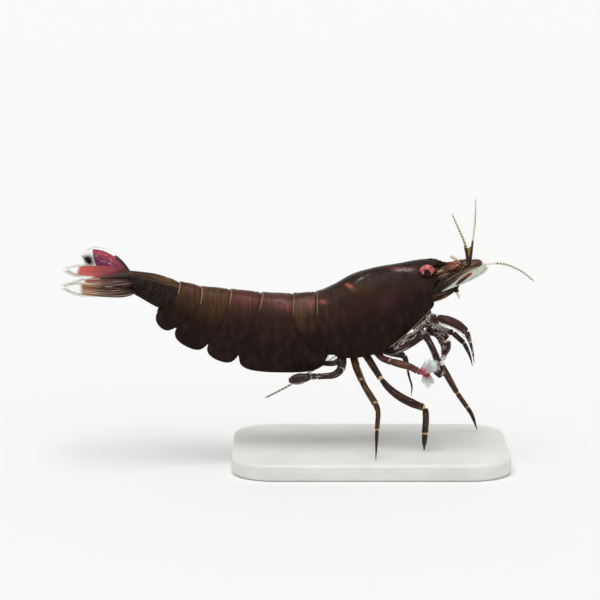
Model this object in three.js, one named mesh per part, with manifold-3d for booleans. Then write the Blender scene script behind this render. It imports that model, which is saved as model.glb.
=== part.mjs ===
// Dark freshwater dwarf shrimp, life size, standing still on a plain base plate.
// Millimetres. +X runs towards the head, +Z is up, and the shrimp's right side faces -Y.
// The origin ends up under the middle of the whole model, on the surface the base stands on.
import * as THREE from 'three';
import { mergeVertices } from 'three/addons/utils/BufferGeometryUtils.js';
import Module from 'manifold-3d';

const wasm = await Module();
wasm.setup();

// ---------------------------------------------------------------- driving dimensions
const RIGHT = -1;
const LEFT = 1;
const GAP = 0.1; // clearance between plates that meet
const WELD = 1e-4; // corners closer than this are one
const SKIN_SIDES = 24; // points round a body plate
const CARAPACE_STEPS = 12;
const LIMB_SIDES = 6;
const FEELER_SIDES = 6;
const FEELER_STEPS = 9;
const BLADE_STEPS = 8;
const BLADE_SIDES = 8;

const ARCH_END = 0.74 * Math.PI; // where the side wall turns in at the lower margin
const ARCH_POWER = 0.85; // below 1 makes the back broader than an ellipse
const MARGIN_ANGLE = 0.75 * Math.PI; // ring angle that the lower margin sits on

// Outlines where one body plate ends and the next begins, seen from the side:
// top on the back, bend as the middle control point, low at the side margin, all [x, z].
// half is the half width there, hollow how far the belly lies above the margin.
const SEAMS = [
  { top: [1.2, 10.95], bend: [0.95, 8.6], low: [2.2, 6.88], half: 2.12, hollow: 0.95 },
  { top: [-0.45, 10.82], bend: [-0.9, 8.3], low: [1.9, 6.66], half: 2.08, hollow: 1.3 },
  { top: [-2.65, 10.88], bend: [-3.1, 8.95], low: [-4.36, 6.7], half: 1.95, hollow: 1.6 },
  { top: [-4.88, 11.12], bend: [-5.0, 9.0], low: [-6.5, 7.5], half: 1.75, hollow: 1.3 },
  { top: [-6.97, 11.32], bend: [-6.75, 9.6], low: [-8.75, 8.6], half: 1.5, hollow: 0.9 },
  { top: [-8.48, 11.66], bend: [-8.6, 10.2], low: [-9.87, 9.92], half: 1.2, hollow: 0.35 },
  { top: [-12.0, 12.42], bend: [-12.1, 11.7], low: [-11.65, 10.92], half: 0.78, hollow: 0.1 },
];
// How far each abdomen plate's flap hangs below a straight margin, how square the flap is,
// how far the plate's back arches up, and how many rings the plate has.
const FLAPS = [
  { drop: 0.05, square: 2, hump: 0.03, rings: 3 },
  { drop: 1.27, square: 3, hump: 0.03, rings: 9 },
  { drop: 0.92, square: 2.4, hump: 0.05, rings: 5 },
  { drop: 0.92, square: 2.4, hump: 0.06, rings: 5 },
  { drop: 0.88, square: 2.2, hump: 0.08, rings: 5 },
  { drop: 0.05, square: 2, hump: 0.22, rings: 4 },
];

const CARAPACE = {
  back: [[1.2, 10.95], [2.47, 11.53], [3.6, 12.18], [5.3, 12.7], [7.0, 13.0], [8.8, 13.3], [9.75, 13.28]],
  margin: [
    [2.2, 6.88], [2.7, 6.55], [3.6, 6.5], [5.2, 6.75], [6.2, 7.15], [7.4, 8.08], [8.4, 9.0], [9.2, 9.85],
  ],
  halfRear: 2.12,
  halfBulge: 0.32,
  halfFront: 1.42,
  hollowFront: 0.35,
};

const EYE = {
  centre: [8.92, 1.25, 12.66],
  radii: [0.55, 0.45, 0.46],
  clearance: 0.05,
  around: 12,
  across: 8,
};
const EYESTALK = { inner: [9.34, 0.5, 12.5], outer: [9.0, 0.9, 12.62], radius: 0.3 };

const ROSTRUM = {
  line: [[9.86, 0, 13.0], [10.4, 0, 12.86], [11.0, 0, 12.84], [11.5, 0, 12.97], [12.05, 0, 13.02]],
  height: [0.28, 0.25, 0.22, 0.22, 0.2],
  halfThickness: 0.25,
};

const FOOT_LEVEL = 0;
const FOOT_GAP = 0.02;
const LIMB_MIN = 0.26; // half of the least thickness of a leg or feeler
const LINK_SWELL = [[0.2, 1.0], [0.75, 1.06]]; // shares along a link, and how much thicker it is there

// Limbs: joints from the body outwards, each [x, distance from the middle plane, z, radius].
const WALKING_LEGS = {
  walking_leg_3_right: [RIGHT, [
    [4.59, 0.95, 6.72, 0.28], [4.94, 1.2, 6.2, 0.28], [5.71, 1.7, 5.03, 0.27], [7.0, 2.05, 3.85, 0.29],
    [8.8, 2.4, 3.08, 0.26], [8.83, 2.5, 2.7, 0.25], [8.74, 2.5, 1.25, 0.25],
    [8.75, 2.55, FOOT_LEVEL, 0.25]]],
  walking_leg_4_right: [RIGHT, [
    [3.72, 0.95, 6.68, 0.28], [3.88, 1.4, 6.05, 0.27], [4.28, 2.8, 5.11, 0.26], [5.26, 4.7, 3.86, 0.26],
    [5.42, 4.95, 3.42, 0.25], [5.35, 5.3, 2.14, 0.25], [5.27, 5.5, FOOT_LEVEL, 0.25]]],
  walking_leg_5_right: [RIGHT, [
    [3.0, 0.95, 6.65, 0.28], [2.96, 1.3, 6.1, 0.32], [2.89, 1.6, 5.65, 0.28], [2.39, 2.1, 5.4, 0.26],
    [1.19, 2.4, 5.35, 0.25], [0.77, 2.5, 5.37, 0.25], [0.0, 2.5, 5.23, 0.25], [-0.63, 2.4, 5.1, 0.25]]],
  walking_leg_3_left: [LEFT, [
    [4.59, 0.95, 6.72, 0.27], [5.6, 1.95, 6.3, 0.26], [7.54, 2.6, 7.1, 0.25], [9.1, 3.0, 7.23, 0.25],
    [9.88, 3.2, 5.57, 0.26], [10.55, 3.4, 4.39, 0.28], [11.38, 3.8, 2.87, 0.26], [12.12, 4.0, 1.79, 0.25],
    [12.64, 4.1, 0.88, 0.25], [12.9, 4.2, FOOT_LEVEL, 0.25]]],
  walking_leg_4_left: [LEFT, [
    [3.72, 0.95, 6.68, 0.28], [4.07, 1.3, 5.36, 0.27], [4.6, 2.3, 3.85, 0.26], [5.39, 3.4, 2.29, 0.25],
    [5.62, 3.6, 1.73, 0.25], [5.59, 3.8, 0.95, 0.25], [5.56, 3.9, FOOT_LEVEL, 0.25]]],
  walking_leg_5_left: [LEFT, [
    [3.0, 0.95, 6.65, 0.28], [2.85, 1.4, 5.75, 0.28], [2.37, 1.9, 5.24, 0.26], [1.29, 2.3, 5.02, 0.25],
    [0.43, 2.4, 5.0, 0.25], [-0.43, 2.4, 4.93, 0.25]]],
};
const CLAW_LEGS = {
  claw_leg_1_right: [RIGHT, [
    [6.18, 0.95, 6.86, 0.3], [6.97, 1.6, 7.2, 0.36], [8.7, 2.2, 8.42, 0.36], [9.2, 2.2, 7.56, 0.28],
    [9.66, 2.2, 6.35, 0.3], [9.85, 2.1, 5.83, 0.36], [9.43, 2.1, 5.25, 0.3], [9.01, 2.1, 4.53, 0.25]]],
  claw_leg_2_right: [RIGHT, [
    [5.41, 0.95, 6.8, 0.28], [5.79, 1.3, 6.46, 0.26], [6.41, 1.8, 6.3, 0.28], [7.73, 2.3, 6.01, 0.28],
    [8.5, 2.5, 5.67, 0.26], [8.95, 2.75, 5.96, 0.3], [9.4, 2.8, 6.42, 0.26]]],
  claw_leg_1_left: [LEFT, [
    [6.24, 0.95, 6.86, 0.28], [7.49, 1.1, 7.37, 0.27], [8.92, 1.3, 7.9, 0.28], [9.86, 1.5, 7.73, 0.32],
    [10.36, 1.5, 7.15, 0.34], [10.4, 1.5, 6.49, 0.3], [10.23, 1.5, 5.91, 0.25]]],
  claw_leg_2_left: [LEFT, [
    [5.41, 0.95, 6.75, 0.27], [6.4, 1.25, 6.35, 0.26], [7.45, 1.9, 6.0, 0.28], [7.67, 2.0, 5.22, 0.25],
    [7.82, 2.0, 4.49, 0.25], [8.04, 2.0, 3.61, 0.25], [7.98, 2.0, 3.03, 0.25]]],
};
const MAXILLIPEDS = {
  maxilliped_right: [RIGHT, [
    [8.97, 0.75, 9.0, 0.28], [9.59, 0.9, 9.25, 0.28], [10.57, 1.1, 9.08, 0.27], [11.7, 1.2, 8.38, 0.25],
    [11.99, 1.2, 7.59, 0.25], [12.29, 1.2, 6.08, 0.25]]],
  maxilliped_left: [LEFT, [
    [9.0, 0.7, 8.5, 0.28], [9.96, 0.8, 8.15, 0.27], [10.9, 0.9, 7.84, 0.26], [11.69, 0.9, 7.11, 0.25],
    [12.12, 0.9, 6.17, 0.25], [12.31, 0.9, 5.44, 0.25]]],
};
// Middle line of the mouth's parts: [x, z, half height]. All of them are equally wide.
const MOUTHPARTS = [[8.2, 8.3, 0.3], [8.75, 8.8, 0.4], [9.12, 9.2, 0.36], [9.3, 9.6, 0.22]];
const MOUTH_HALF_WIDTH = 0.38;
const MOUTH_SIDES = 12;
const BREAST_PLATE = {
  line: [[2.6, 0, 6.95], [4.0, 0, 6.85], [5.2, 0, 6.95], [6.3, 0, 7.3], [7.3, 0, 7.95]],
  half: [0.45, 0.5, 0.45],
  thickness: 0.34,
};

// Head feelers and their bases: [x, distance from the middle plane, z, radius].
const ANTENNULE_BASE = [[9.78, 0.68, 12.15, 0.38], [10.7, 0.68, 12.52, 0.38], [11.35, 0.68, 12.8, 0.34],
  [11.97, 0.68, 13.0, 0.28]];
const ANTENNA_BASE = [[9.5, 0.95, 10.84, 0.4], [10.28, 0.95, 11.02, 0.42], [10.98, 0.95, 11.36, 0.3]];
const SCALE = {
  line: [[10.2, 1.75, 11.5], [11.77, 1.85, 12.45], [13.05, 1.9, 13.0]],
  half: [0.2, 0.5, 0.56, 0.28],
  across: [0, 0.35, 0.94],
};
const FEELERS = {
  antennule_outer_right: [RIGHT, [
    [11.81, 0.9, 13.42], [12.01, 0.95, 14.33], [12.2, 1, 15.9], [12.29, 1, 17.95]]],
  antennule_inner_right: [RIGHT, [
    [11.7, 0.32, 13.6], [11.62, 0.3, 14.44], [11.23, 0.25, 15.36], [10.69, 0.2, 16.56]]],
  antennule_outer_left: [LEFT, [
    [11.9, 0.9, 13.42], [12.23, 1, 14.31], [12.39, 1, 15.67], [12.44, 1, 17.39]]],
  antennule_inner_left: [LEFT, [
    [11.5, 1.34, 12.9], [11.2, 1.55, 12.95], [10.95, 2, 13.08], [10.86, 2.8, 13.02], [10.88, 3.8, 12.86]]],
  antenna_right: [RIGHT, [
    [11.3, 0.95, 11.78], [11.96, 0.95, 12.3], [13.07, 1, 13.09], [14.26, 1.1, 13.15],
    [15.38, 1.2, 12.74], [16.44, 1.3, 11.97]]],
};
// The left antenna sweeps back along the far flank, in two lengths.
const SWEPT_ANTENNA = [[11.3, 1.2, 11.45], [11.15, 2.3, 11.2], [10.06, 3.4, 10.66], [7.21, 4, 9.31],
  [3.25, 3.9, 6.03], [0.72, 3.5, 4.48], [-0.72, 3.1, 3.61], [-2.52, 2.6, 2.75]];
const SWEPT_BREAK = 0.5; // share of its length where the two meet
const SWEPT_GAP = 0.002; // half the share left open between them

// Tail fan blades: centre line [x, distance from the middle plane, z], half widths along it,
// and the direction in which the blade is wide.
const BLADE_THICKNESS = 0.5;
const TAIL_FAN = {
  telson: [LEFT,
    [[-12.13, 0, 12.08], [-13.07, 0, 12.07], [-14.14, 0, 12.0], [-15.0, 0, 11.89]],
    [0.4, 0.48, 0.4, 0.25], [0, 1, 0]],
  tail_fan_inner_left: [LEFT,
    [[-12.25, 0.82, 12.2], [-13.36, 1.25, 12.26], [-14.81, 1.6, 12.2], [-16.61, 1.9, 12.22]],
    [0.25, 0.5, 0.62, 0.27], [0, 1, 0.15]],
  tail_fan_outer_left: [LEFT,
    [[-12.2, 1.4, 11.75], [-13.0, 2.15, 12.5], [-14.1, 2.65, 12.86], [-15.6, 3.1, 12.95]],
    [0.26, 0.52, 0.72, 0.6], [0, 0.35, 0.94]],
  tail_fan_inner_right: [RIGHT,
    [[-12.1, 0.82, 11.73], [-13.21, 1.25, 11.82], [-14.59, 1.55, 11.92], [-15.91, 1.75, 11.8]],
    [0.25, 0.42, 0.48, 0.27], [0, 0.95, -0.3]],
  tail_fan_outer_right: [RIGHT,
    [[-11.95, 1.12, 11.15], [-12.97, 1.95, 11.25], [-14.33, 2.6, 11.5], [-16.45, 3.0, 11.8]],
    [0.26, 0.45, 0.58, 0.3], [0, 0.85, -0.5]],
};

const SWIMMERET = {
  offset: 0.6, wall: 0.72, half: [0.26, 0.42, 0.25], thickness: 0.5,
  rootGap: 0.5, tuck: 0.25, minLength: 1.2, sweep: 0.45, forward: 0.19, upright: 2, steps: 4,
};

const BASE = {
  centre: 5.0,
  length: 19.6,
  width: 13.6,
  corner: 3.0,
  height: 1.2,
  bevel: 0.15,
  cornerSteps: 5,
};

// ---------------------------------------------------------------- colours
const FINISH = {
  shell: { color: 0x2a1c18, roughness: 0.3, metalness: 0 },
  limb: { color: 0x3a241b, roughness: 0.35, metalness: 0 },
  eye: { color: 0xd65a60, roughness: 0.15, metalness: 0 },
  scale: { color: 0xc9d6c2, roughness: 0.35, metalness: 0 },
  feeler: { color: 0x8c7f55, roughness: 0.4, metalness: 0 },
  tail: { color: 0x8f2b45, roughness: 0.3, metalness: 0 },
  base: { color: 0xd9d8d3, roughness: 0.6, metalness: 0 },
};

// ---------------------------------------------------------------- tools
const lerp = THREE.MathUtils.lerp;

function mesh(name, geometry, finish) {
  const piece = new THREE.Mesh(geometry, new THREE.MeshStandardMaterial(FINISH[finish]));
  piece.name = name;
  return piece;
}

// Six times the signed volume, which is positive when the faces point outwards.
function signedVolume(geometry) {
  const position = geometry.attributes.position;
  const index = geometry.index;
  const corner = [new THREE.Vector3(), new THREE.Vector3(), new THREE.Vector3()];
  let volume = 0;
  for (let i = 0; i < index.count; i += 3) {
    corner.forEach((point, k) => point.fromBufferAttribute(position, index.getX(i + k)));
    volume += corner[0].dot(corner[1].clone().cross(corner[2]));
  }
  return volume;
}

function closed(geometry) {
  geometry.deleteAttribute('normal');
  geometry.deleteAttribute('uv');
  const merged = mergeVertices(geometry, WELD);
  if (signedVolume(merged) < 0) {
    const index = merged.index;
    for (let i = 0; i < index.count; i += 3) {
      const first = index.getX(i);
      index.setX(i, index.getX(i + 1));
      index.setX(i + 1, first);
    }
  }
  return merged;
}

// A closed rod whose points are moved by place(t, angle, reach): t runs 0 to 1 along it,
// angle goes round it, and reach is 1 on the wall and 0 in the middle of an end.
function warpedRod(sides, steps, place) {
  const rod = new THREE.CylinderGeometry(1, 1, 1, sides, steps);
  const position = rod.attributes.position;
  for (let i = 0; i < position.count; i += 1) {
    const reach = Math.round(Math.hypot(position.getX(i), position.getZ(i)));
    const turn = Math.round((Math.atan2(position.getX(i), position.getZ(i)) * sides) / (2 * Math.PI));
    const angle = (turn * 2 * Math.PI) / sides;
    const point = place(0.5 - position.getY(i), angle, reach);
    position.setXYZ(i, point.x, point.y, point.z);
  }
  return closed(rod);
}

// Stations carry a centre, two directions and two half sizes; the rod is an ellipse at each.
function sweep(stations, sides) {
  const last = stations.length - 1;
  return warpedRod(sides, last, (t, angle, reach) => {
    const station = stations[Math.round(t * last)];
    return station.centre.clone()
      .addScaledVector(station.across, reach * station.halfWidth * Math.cos(angle))
      .addScaledVector(station.through, reach * station.halfHeight * Math.sin(angle));
  });
}

// Round stations along points, with the section carried on from one to the next without twist.
function roundStations(points, radii) {
  let across = new THREE.Vector3(0, 1, 0);
  return points.map((centre, i) => {
    const before = points[Math.max(i - 1, 0)];
    const after = points[Math.min(i + 1, points.length - 1)];
    const tangent = after.clone().sub(before).normalize();
    across = across.clone().addScaledVector(tangent, -across.dot(tangent)).normalize();
    const through = tangent.clone().cross(across);
    return { centre, across, through, halfWidth: radii[i], halfHeight: radii[i] };
  });
}

function mirrored(side, list) {
  return list.map(([x, y, z]) => new THREE.Vector3(x, side * y, z));
}

// A jointed limb: each link swells a little between its joints, where it is narrowest.
function limb(side, joints) {
  const centres = mirrored(side, joints);
  const points = [centres[0]];
  const radii = [joints[0][3]];
  for (let i = 1; i < joints.length; i += 1) {
    for (const [along, scale] of LINK_SWELL) {
      points.push(centres[i - 1].clone().lerp(centres[i], along));
      radii.push(Math.max(LIMB_MIN, scale * lerp(joints[i - 1][3], joints[i][3], along)));
    }
    points.push(centres[i]);
    radii.push(Math.max(LIMB_MIN, joints[i][3]));
  }
  return sweep(roundStations(points, radii), LIMB_SIDES);
}

// A walking leg; where its last joint stands on the base, its last ring is pressed flat there.
function walkingLimb(side, joints) {
  const geometry = limb(side, joints);
  const position = geometry.attributes.position;
  const [footX, footY, footZ] = joints[joints.length - 1];
  if (footZ > FOOT_LEVEL) return geometry;
  for (let i = 0; i < position.count; i += 1) {
    const offset = Math.hypot(position.getX(i) - footX, position.getY(i) - side * footY);
    const nearFoot = position.getZ(i) < footZ + LIMB_MIN && offset < 2 * LIMB_MIN;
    if (nearFoot) position.setZ(i, FOOT_LEVEL);
  }
  return geometry;
}

function feeler(side, line, from = 0, to = 1) {
  const curve = new THREE.CatmullRomCurve3(mirrored(side, line), false, 'centripetal');
  const along = Array.from({ length: FEELER_STEPS + 1 }, (_, i) => lerp(from, to, i / FEELER_STEPS));
  const points = along.map((u) => curve.getPointAt(u));
  return sweep(roundStations(points, points.map(() => LIMB_MIN)), FEELER_SIDES);
}

// A flat blade along a line, wide in one direction and even in thickness.
function blade(side, points, halves, wide, thickness, steps = BLADE_STEPS, sides = BLADE_SIDES) {
  const curve = new THREE.CatmullRomCurve3(mirrored(side, points), false, 'centripetal');
  const widths = new THREE.SplineCurve(halves.map((half, i) => new THREE.Vector2(i, half)));
  const [wx, wy, wz] = wide;
  const stations = Array.from({ length: steps + 1 }, (_, i) => {
    const u = i / steps;
    const tangent = curve.getTangentAt(u);
    const across = new THREE.Vector3(wx, side * wy, wz);
    across.addScaledVector(tangent, -across.dot(tangent)).normalize();
    return {
      centre: curve.getPointAt(u),
      across,
      through: tangent.clone().cross(across),
      halfWidth: widths.getPoint(u).y,
      halfHeight: thickness / 2,
    };
  });
  return sweep(stations, sides);
}

function toManifold(geometry) {
  return new wasm.Manifold(new wasm.Mesh({
    numProp: 3,
    vertProperties: new Float32Array(geometry.attributes.position.array),
    triVerts: new Uint32Array(geometry.index.array),
  }));
}

function cut(geometry, tools) {
  let solid = toManifold(geometry);
  tools.forEach((tool) => { solid = solid.subtract(toManifold(tool)); });
  const result = solid.getMesh();
  const left = new THREE.BufferGeometry();
  left.setAttribute('position', new THREE.BufferAttribute(result.vertProperties.slice(), 3));
  left.setIndex(new THREE.BufferAttribute(result.triVerts.slice(), 1));
  return mergeVertices(left, WELD);
}

// ---------------------------------------------------------------- body plates
// A section runs from the back, down the side wall and under the margin to the hollow belly.
function bodyPoint(section, angle, reach) {
  const { top, bend, low, half, hollow } = section;
  const outline = new THREE.QuadraticBezierCurve(
    new THREE.Vector2(...top), new THREE.Vector2(...bend), new THREE.Vector2(...low));
  if (reach === 0) {
    const middle = outline.getPoint(0.5);
    return new THREE.Vector3(middle.x, 0, middle.y);
  }
  const turned = Math.abs(angle);
  const side = Math.sign(angle);
  const marginY = half * Math.sin(ARCH_END) ** ARCH_POWER;
  if (turned <= MARGIN_ANGLE + 1e-6) {
    const phi = Math.min(1, turned / MARGIN_ANGLE) * ARCH_END;
    const down = (1 - Math.cos(phi)) / (1 - Math.cos(ARCH_END));
    const point = outline.getPoint(down);
    return new THREE.Vector3(point.x, side * half * Math.sin(phi) ** ARCH_POWER, point.y);
  }
  const under = (turned - MARGIN_ANGLE) / (Math.PI - MARGIN_ANGLE);
  const rise = Math.sin((under * Math.PI) / 2);
  const x = lerp(low[0], outline.getPoint(0.5).x, rise);
  return new THREE.Vector3(x, side * marginY * (1 - under), low[1] + hollow * rise);
}

function mixPair(a, b, t) {
  return [lerp(a[0], b[0], t), lerp(a[1], b[1], t)];
}

// The section of an abdomen plate at t between its front and rear seams, with its flap and hump.
function plateSection(front, rear, flap, t) {
  const chord = new THREE.Vector2(rear.low[0] - front.low[0], rear.low[1] - front.low[1]).normalize();
  const bulge = (1 - Math.abs(2 * t - 1) ** flap.square) ** (1 / flap.square);
  const hump = flap.hump * Math.sin(Math.PI * t);
  const top = mixPair(front.top, rear.top, t);
  const bend = mixPair(front.bend, rear.bend, t);
  const low = mixPair(front.low, rear.low, t);
  return {
    top: [top[0], top[1] + hump],
    bend,
    low: [low[0] - flap.drop * bulge * chord.y, low[1] + flap.drop * bulge * chord.x],
    half: lerp(front.half, rear.half, t),
    hollow: lerp(front.hollow, rear.hollow, t) + flap.drop * bulge,
  };
}

function shifted(seam, dx) {
  return { ...seam, top: [seam.top[0] + dx, seam.top[1]], bend: [seam.bend[0] + dx, seam.bend[1]],
    low: [seam.low[0] + dx, seam.low[1]] };
}

function abdomenPlate(number) {
  const front = shifted(SEAMS[number - 1], -GAP / 2);
  const rear = shifted(SEAMS[number], GAP / 2);
  const flap = FLAPS[number - 1];
  return warpedRod(SKIN_SIDES, flap.rings, (t, angle, reach) => (
    bodyPoint(plateSection(front, rear, flap, t), angle, reach)));
}

function spline2(points) {
  return new THREE.SplineCurve(points.map(([x, z]) => new THREE.Vector2(x, z)));
}

function carapace() {
  const back = spline2(CARAPACE.back);
  const margin = spline2(CARAPACE.margin);
  const seam = SEAMS[0];
  const lean = [0, 1].map((k) => seam.bend[k] - (seam.top[k] + seam.low[k]) / 2);
  return warpedRod(SKIN_SIDES, CARAPACE_STEPS, (t, angle, reach) => {
    const top = back.getPointAt(t);
    const low = margin.getPointAt(t);
    const offset = (GAP / 2) * (1 - t);
    const section = {
      top: [top.x + offset, top.y],
      bend: [(top.x + low.x) / 2 + lean[0] * (1 - t) + offset, (top.y + low.y) / 2 + lean[1] * (1 - t)],
      low: [low.x + offset, low.y],
      half: lerp(CARAPACE.halfRear, CARAPACE.halfFront, t * t) + CARAPACE.halfBulge * Math.sin(Math.PI * t),
      hollow: lerp(seam.hollow, CARAPACE.hollowFront, t),
    };
    return bodyPoint(section, angle, reach);
  });
}

// ---------------------------------------------------------------- head
function eyeBall(side, grow) {
  const ball = new THREE.SphereGeometry(1, EYE.around, EYE.across);
  const [rx, ry, rz] = EYE.radii;
  ball.scale(rx + grow, ry + grow, rz + grow);
  ball.translate(EYE.centre[0], side * EYE.centre[1], EYE.centre[2]);
  return closed(ball);
}

function eyeStalk(side, grow) {
  const ends = mirrored(side, [EYESTALK.inner, EYESTALK.outer]);
  const reach = ends[1].clone().sub(ends[0]).normalize().multiplyScalar(grow);
  const middle = ends[0].clone().lerp(ends[1], 0.5);
  const points = [ends[0].clone().sub(reach), middle, ends[1].clone().add(reach)];
  return sweep(roundStations(points, points.map(() => EYESTALK.radius + grow)), LIMB_SIDES);
}

function mouthparts() {
  const stations = MOUTHPARTS.map(([x, z, half], i) => {
    const [fromX, fromZ] = MOUTHPARTS[Math.max(i - 1, 0)];
    const [toX, toZ] = MOUTHPARTS[Math.min(i + 1, MOUTHPARTS.length - 1)];
    const along = new THREE.Vector3(toX - fromX, 0, toZ - fromZ).normalize();
    const across = new THREE.Vector3(0, 1, 0);
    return { centre: new THREE.Vector3(x, 0, z), across, through: along.cross(across),
      halfWidth: MOUTH_HALF_WIDTH, halfHeight: half };
  });
  return sweep(stations, MOUTH_SIDES);
}

// ---------------------------------------------------------------- swimmerets and base
// The upright pairs hang below the middle of their plates, and each later one sits further forward.
function swimmeret(number, side) {
  const section = plateSection(SEAMS[number - 1], SEAMS[number], FLAPS[number - 1], 0.5);
  const [lowX, marginZ] = section.low;
  const x = lowX + SWIMMERET.forward * Math.max(number - SWIMMERET.upright, 0);
  const marginY = section.half * Math.sin(ARCH_END) ** ARCH_POWER;
  const y = Math.min(SWIMMERET.offset, marginY - SWIMMERET.wall);
  const belly = marginZ + section.hollow * Math.sin(((1 - y / marginY) * Math.PI) / 2);
  const rootZ = belly - SWIMMERET.rootGap;
  const tipZ = Math.min(marginZ + SWIMMERET.tuck, rootZ - SWIMMERET.minLength);
  const line = [[x - 0.1, y, rootZ], [x - 0.2, y, (rootZ + tipZ) / 2], [x - SWIMMERET.sweep, y, tipZ]];
  return blade(side, line, SWIMMERET.half, [1, 0, 0], SWIMMERET.thickness, SWIMMERET.steps);
}

function basePlate() {
  const { length, width, corner, height, bevel, cornerSteps } = BASE;
  const outline = new THREE.Shape();
  const x = length / 2 - corner;
  const y = width / 2 - corner;
  outline.absarc(x, y, corner - bevel, 0, Math.PI / 2);
  outline.absarc(-x, y, corner - bevel, Math.PI / 2, Math.PI);
  outline.absarc(-x, -y, corner - bevel, Math.PI, 1.5 * Math.PI);
  outline.absarc(x, -y, corner - bevel, 1.5 * Math.PI, 2 * Math.PI);
  const plate = new THREE.ExtrudeGeometry(outline, {
    depth: height - 2 * bevel,
    bevelEnabled: true,
    bevelThickness: bevel,
    bevelSize: bevel,
    bevelSegments: 1,
    curveSegments: cornerSteps,
    steps: 1,
  });
  plate.translate(BASE.centre, 0, FOOT_LEVEL - FOOT_GAP - height + bevel);
  return closed(plate);
}

// ---------------------------------------------------------------- assembly
const shrimp = new THREE.Group();
const sides = [['right', RIGHT], ['left', LEFT]];

const orbits = sides.flatMap(([, side]) => [eyeBall(side, EYE.clearance), eyeStalk(side, EYE.clearance)]);
shrimp.add(mesh('carapace', cut(carapace(), orbits), 'shell'));
for (let number = 1; number < SEAMS.length; number += 1) {
  shrimp.add(mesh(`abdomen_${number}`, abdomenPlate(number), 'shell'));
}
shrimp.add(mesh('breast_plate',
  blade(LEFT, BREAST_PLATE.line, BREAST_PLATE.half, [0, 1, 0], BREAST_PLATE.thickness), 'shell'));
shrimp.add(mesh('mouthparts', mouthparts(), 'limb'));
shrimp.add(mesh('rostrum',
  blade(LEFT, ROSTRUM.line, ROSTRUM.height, [0, 0, 1], 2 * ROSTRUM.halfThickness), 'shell'));

for (const [word, side] of sides) {
  shrimp.add(mesh(`eye_${word}`, eyeBall(side, 0), 'eye'));
  shrimp.add(mesh(`eyestalk_${word}`, cut(eyeStalk(side, 0), [eyeBall(side, EYE.clearance)]), 'shell'));
  shrimp.add(mesh(`antennule_base_${word}`, limb(side, ANTENNULE_BASE), 'limb'));
  shrimp.add(mesh(`antenna_base_${word}`, limb(side, ANTENNA_BASE), 'limb'));
  shrimp.add(mesh(`antenna_scale_${word}`,
    blade(side, SCALE.line, SCALE.half, SCALE.across, BLADE_THICKNESS), 'scale'));
  for (let number = 1; number < 6; number += 1) {
    shrimp.add(mesh(`swimmeret_${number}_${word}`, swimmeret(number, side), 'limb'));
  }
}
for (const [name, [side, points]] of Object.entries(FEELERS)) {
  shrimp.add(mesh(name, feeler(side, points), 'feeler'));
}
shrimp.add(mesh('antenna_left_front', feeler(LEFT, SWEPT_ANTENNA, 0, SWEPT_BREAK - SWEPT_GAP), 'feeler'));
shrimp.add(mesh('antenna_left_rear', feeler(LEFT, SWEPT_ANTENNA, SWEPT_BREAK + SWEPT_GAP, 1), 'feeler'));

for (const [name, [side, joints]] of Object.entries({ ...CLAW_LEGS, ...MAXILLIPEDS })) {
  shrimp.add(mesh(name, limb(side, joints), 'limb'));
}
for (const [name, [side, joints]] of Object.entries(WALKING_LEGS)) {
  shrimp.add(mesh(name, walkingLimb(side, joints), 'limb'));
}
for (const [name, [side, line, halves, wide]] of Object.entries(TAIL_FAN)) {
  shrimp.add(mesh(name, blade(side, line, halves, wide, BLADE_THICKNESS), 'tail'));
}
shrimp.add(mesh('stand_base', basePlate(), 'base'));

// The origin goes under the middle of the model's box.
const box = new THREE.Box3().setFromObject(shrimp);
const middle = box.getCenter(new THREE.Vector3());
shrimp.position.set(-middle.x, -middle.y, -box.min.z);

export default shrimp;
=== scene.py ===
"""A dark freshwater dwarf shrimp at life size, standing still on a plain base plate.

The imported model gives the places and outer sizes. This script gives every piece its fine shape and
its finish. Sizes below are millimetres in the shrimp's own frame: +X towards the head, +Z up, feet
at level 0, and the right side towards -Y. placed() turns them into the model's metres.
"""

import logging
import math
from dataclasses import dataclass, replace
from enum import Enum
from functools import cache

import bpy
import numpy as np
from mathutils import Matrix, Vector


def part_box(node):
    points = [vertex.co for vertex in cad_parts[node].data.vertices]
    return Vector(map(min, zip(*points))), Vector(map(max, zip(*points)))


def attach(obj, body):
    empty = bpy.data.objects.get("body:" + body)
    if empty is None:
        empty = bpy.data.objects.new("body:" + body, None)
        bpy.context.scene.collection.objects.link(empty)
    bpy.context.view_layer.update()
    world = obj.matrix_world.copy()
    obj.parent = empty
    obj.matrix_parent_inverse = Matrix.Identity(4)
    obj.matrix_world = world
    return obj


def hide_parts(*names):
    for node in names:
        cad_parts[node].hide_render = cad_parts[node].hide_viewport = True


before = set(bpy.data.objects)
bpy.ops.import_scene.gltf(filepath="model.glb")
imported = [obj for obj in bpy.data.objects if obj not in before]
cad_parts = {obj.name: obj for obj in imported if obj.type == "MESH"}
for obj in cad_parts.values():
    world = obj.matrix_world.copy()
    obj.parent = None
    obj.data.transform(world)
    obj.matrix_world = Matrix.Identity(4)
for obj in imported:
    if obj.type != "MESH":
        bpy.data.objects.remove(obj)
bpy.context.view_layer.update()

log = logging.getLogger("shrimp")

MM = 0.001
ON_MAP = 1 / MM  # the size of lumps that fill a piece's own map from 0 to 1
SEED = 20
POINTED = 0.1  # a limb that ends thinner than this tapers to a point
EYE = (8.92, 1.25, 12.66)  # the middle of an eye
BASE_CENTRE_X = 5.0  # the base plate's middle
BASE_TOP = -0.02  # the base plate's upper face
UP = np.array([0.0, 0.0, 1.0])
SIDEWAYS = np.array([0.0, 1.0, 0.0])

Array = np.ndarray
Rng = np.random.Generator
Tone = tuple[int, int, int]  # a screen colour
Spot = tuple[float, float, float]
Row = tuple[float, ...]
Table = tuple[Row, ...]
Socket = bpy.types.NodeSocket
Material = bpy.types.Material


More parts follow.
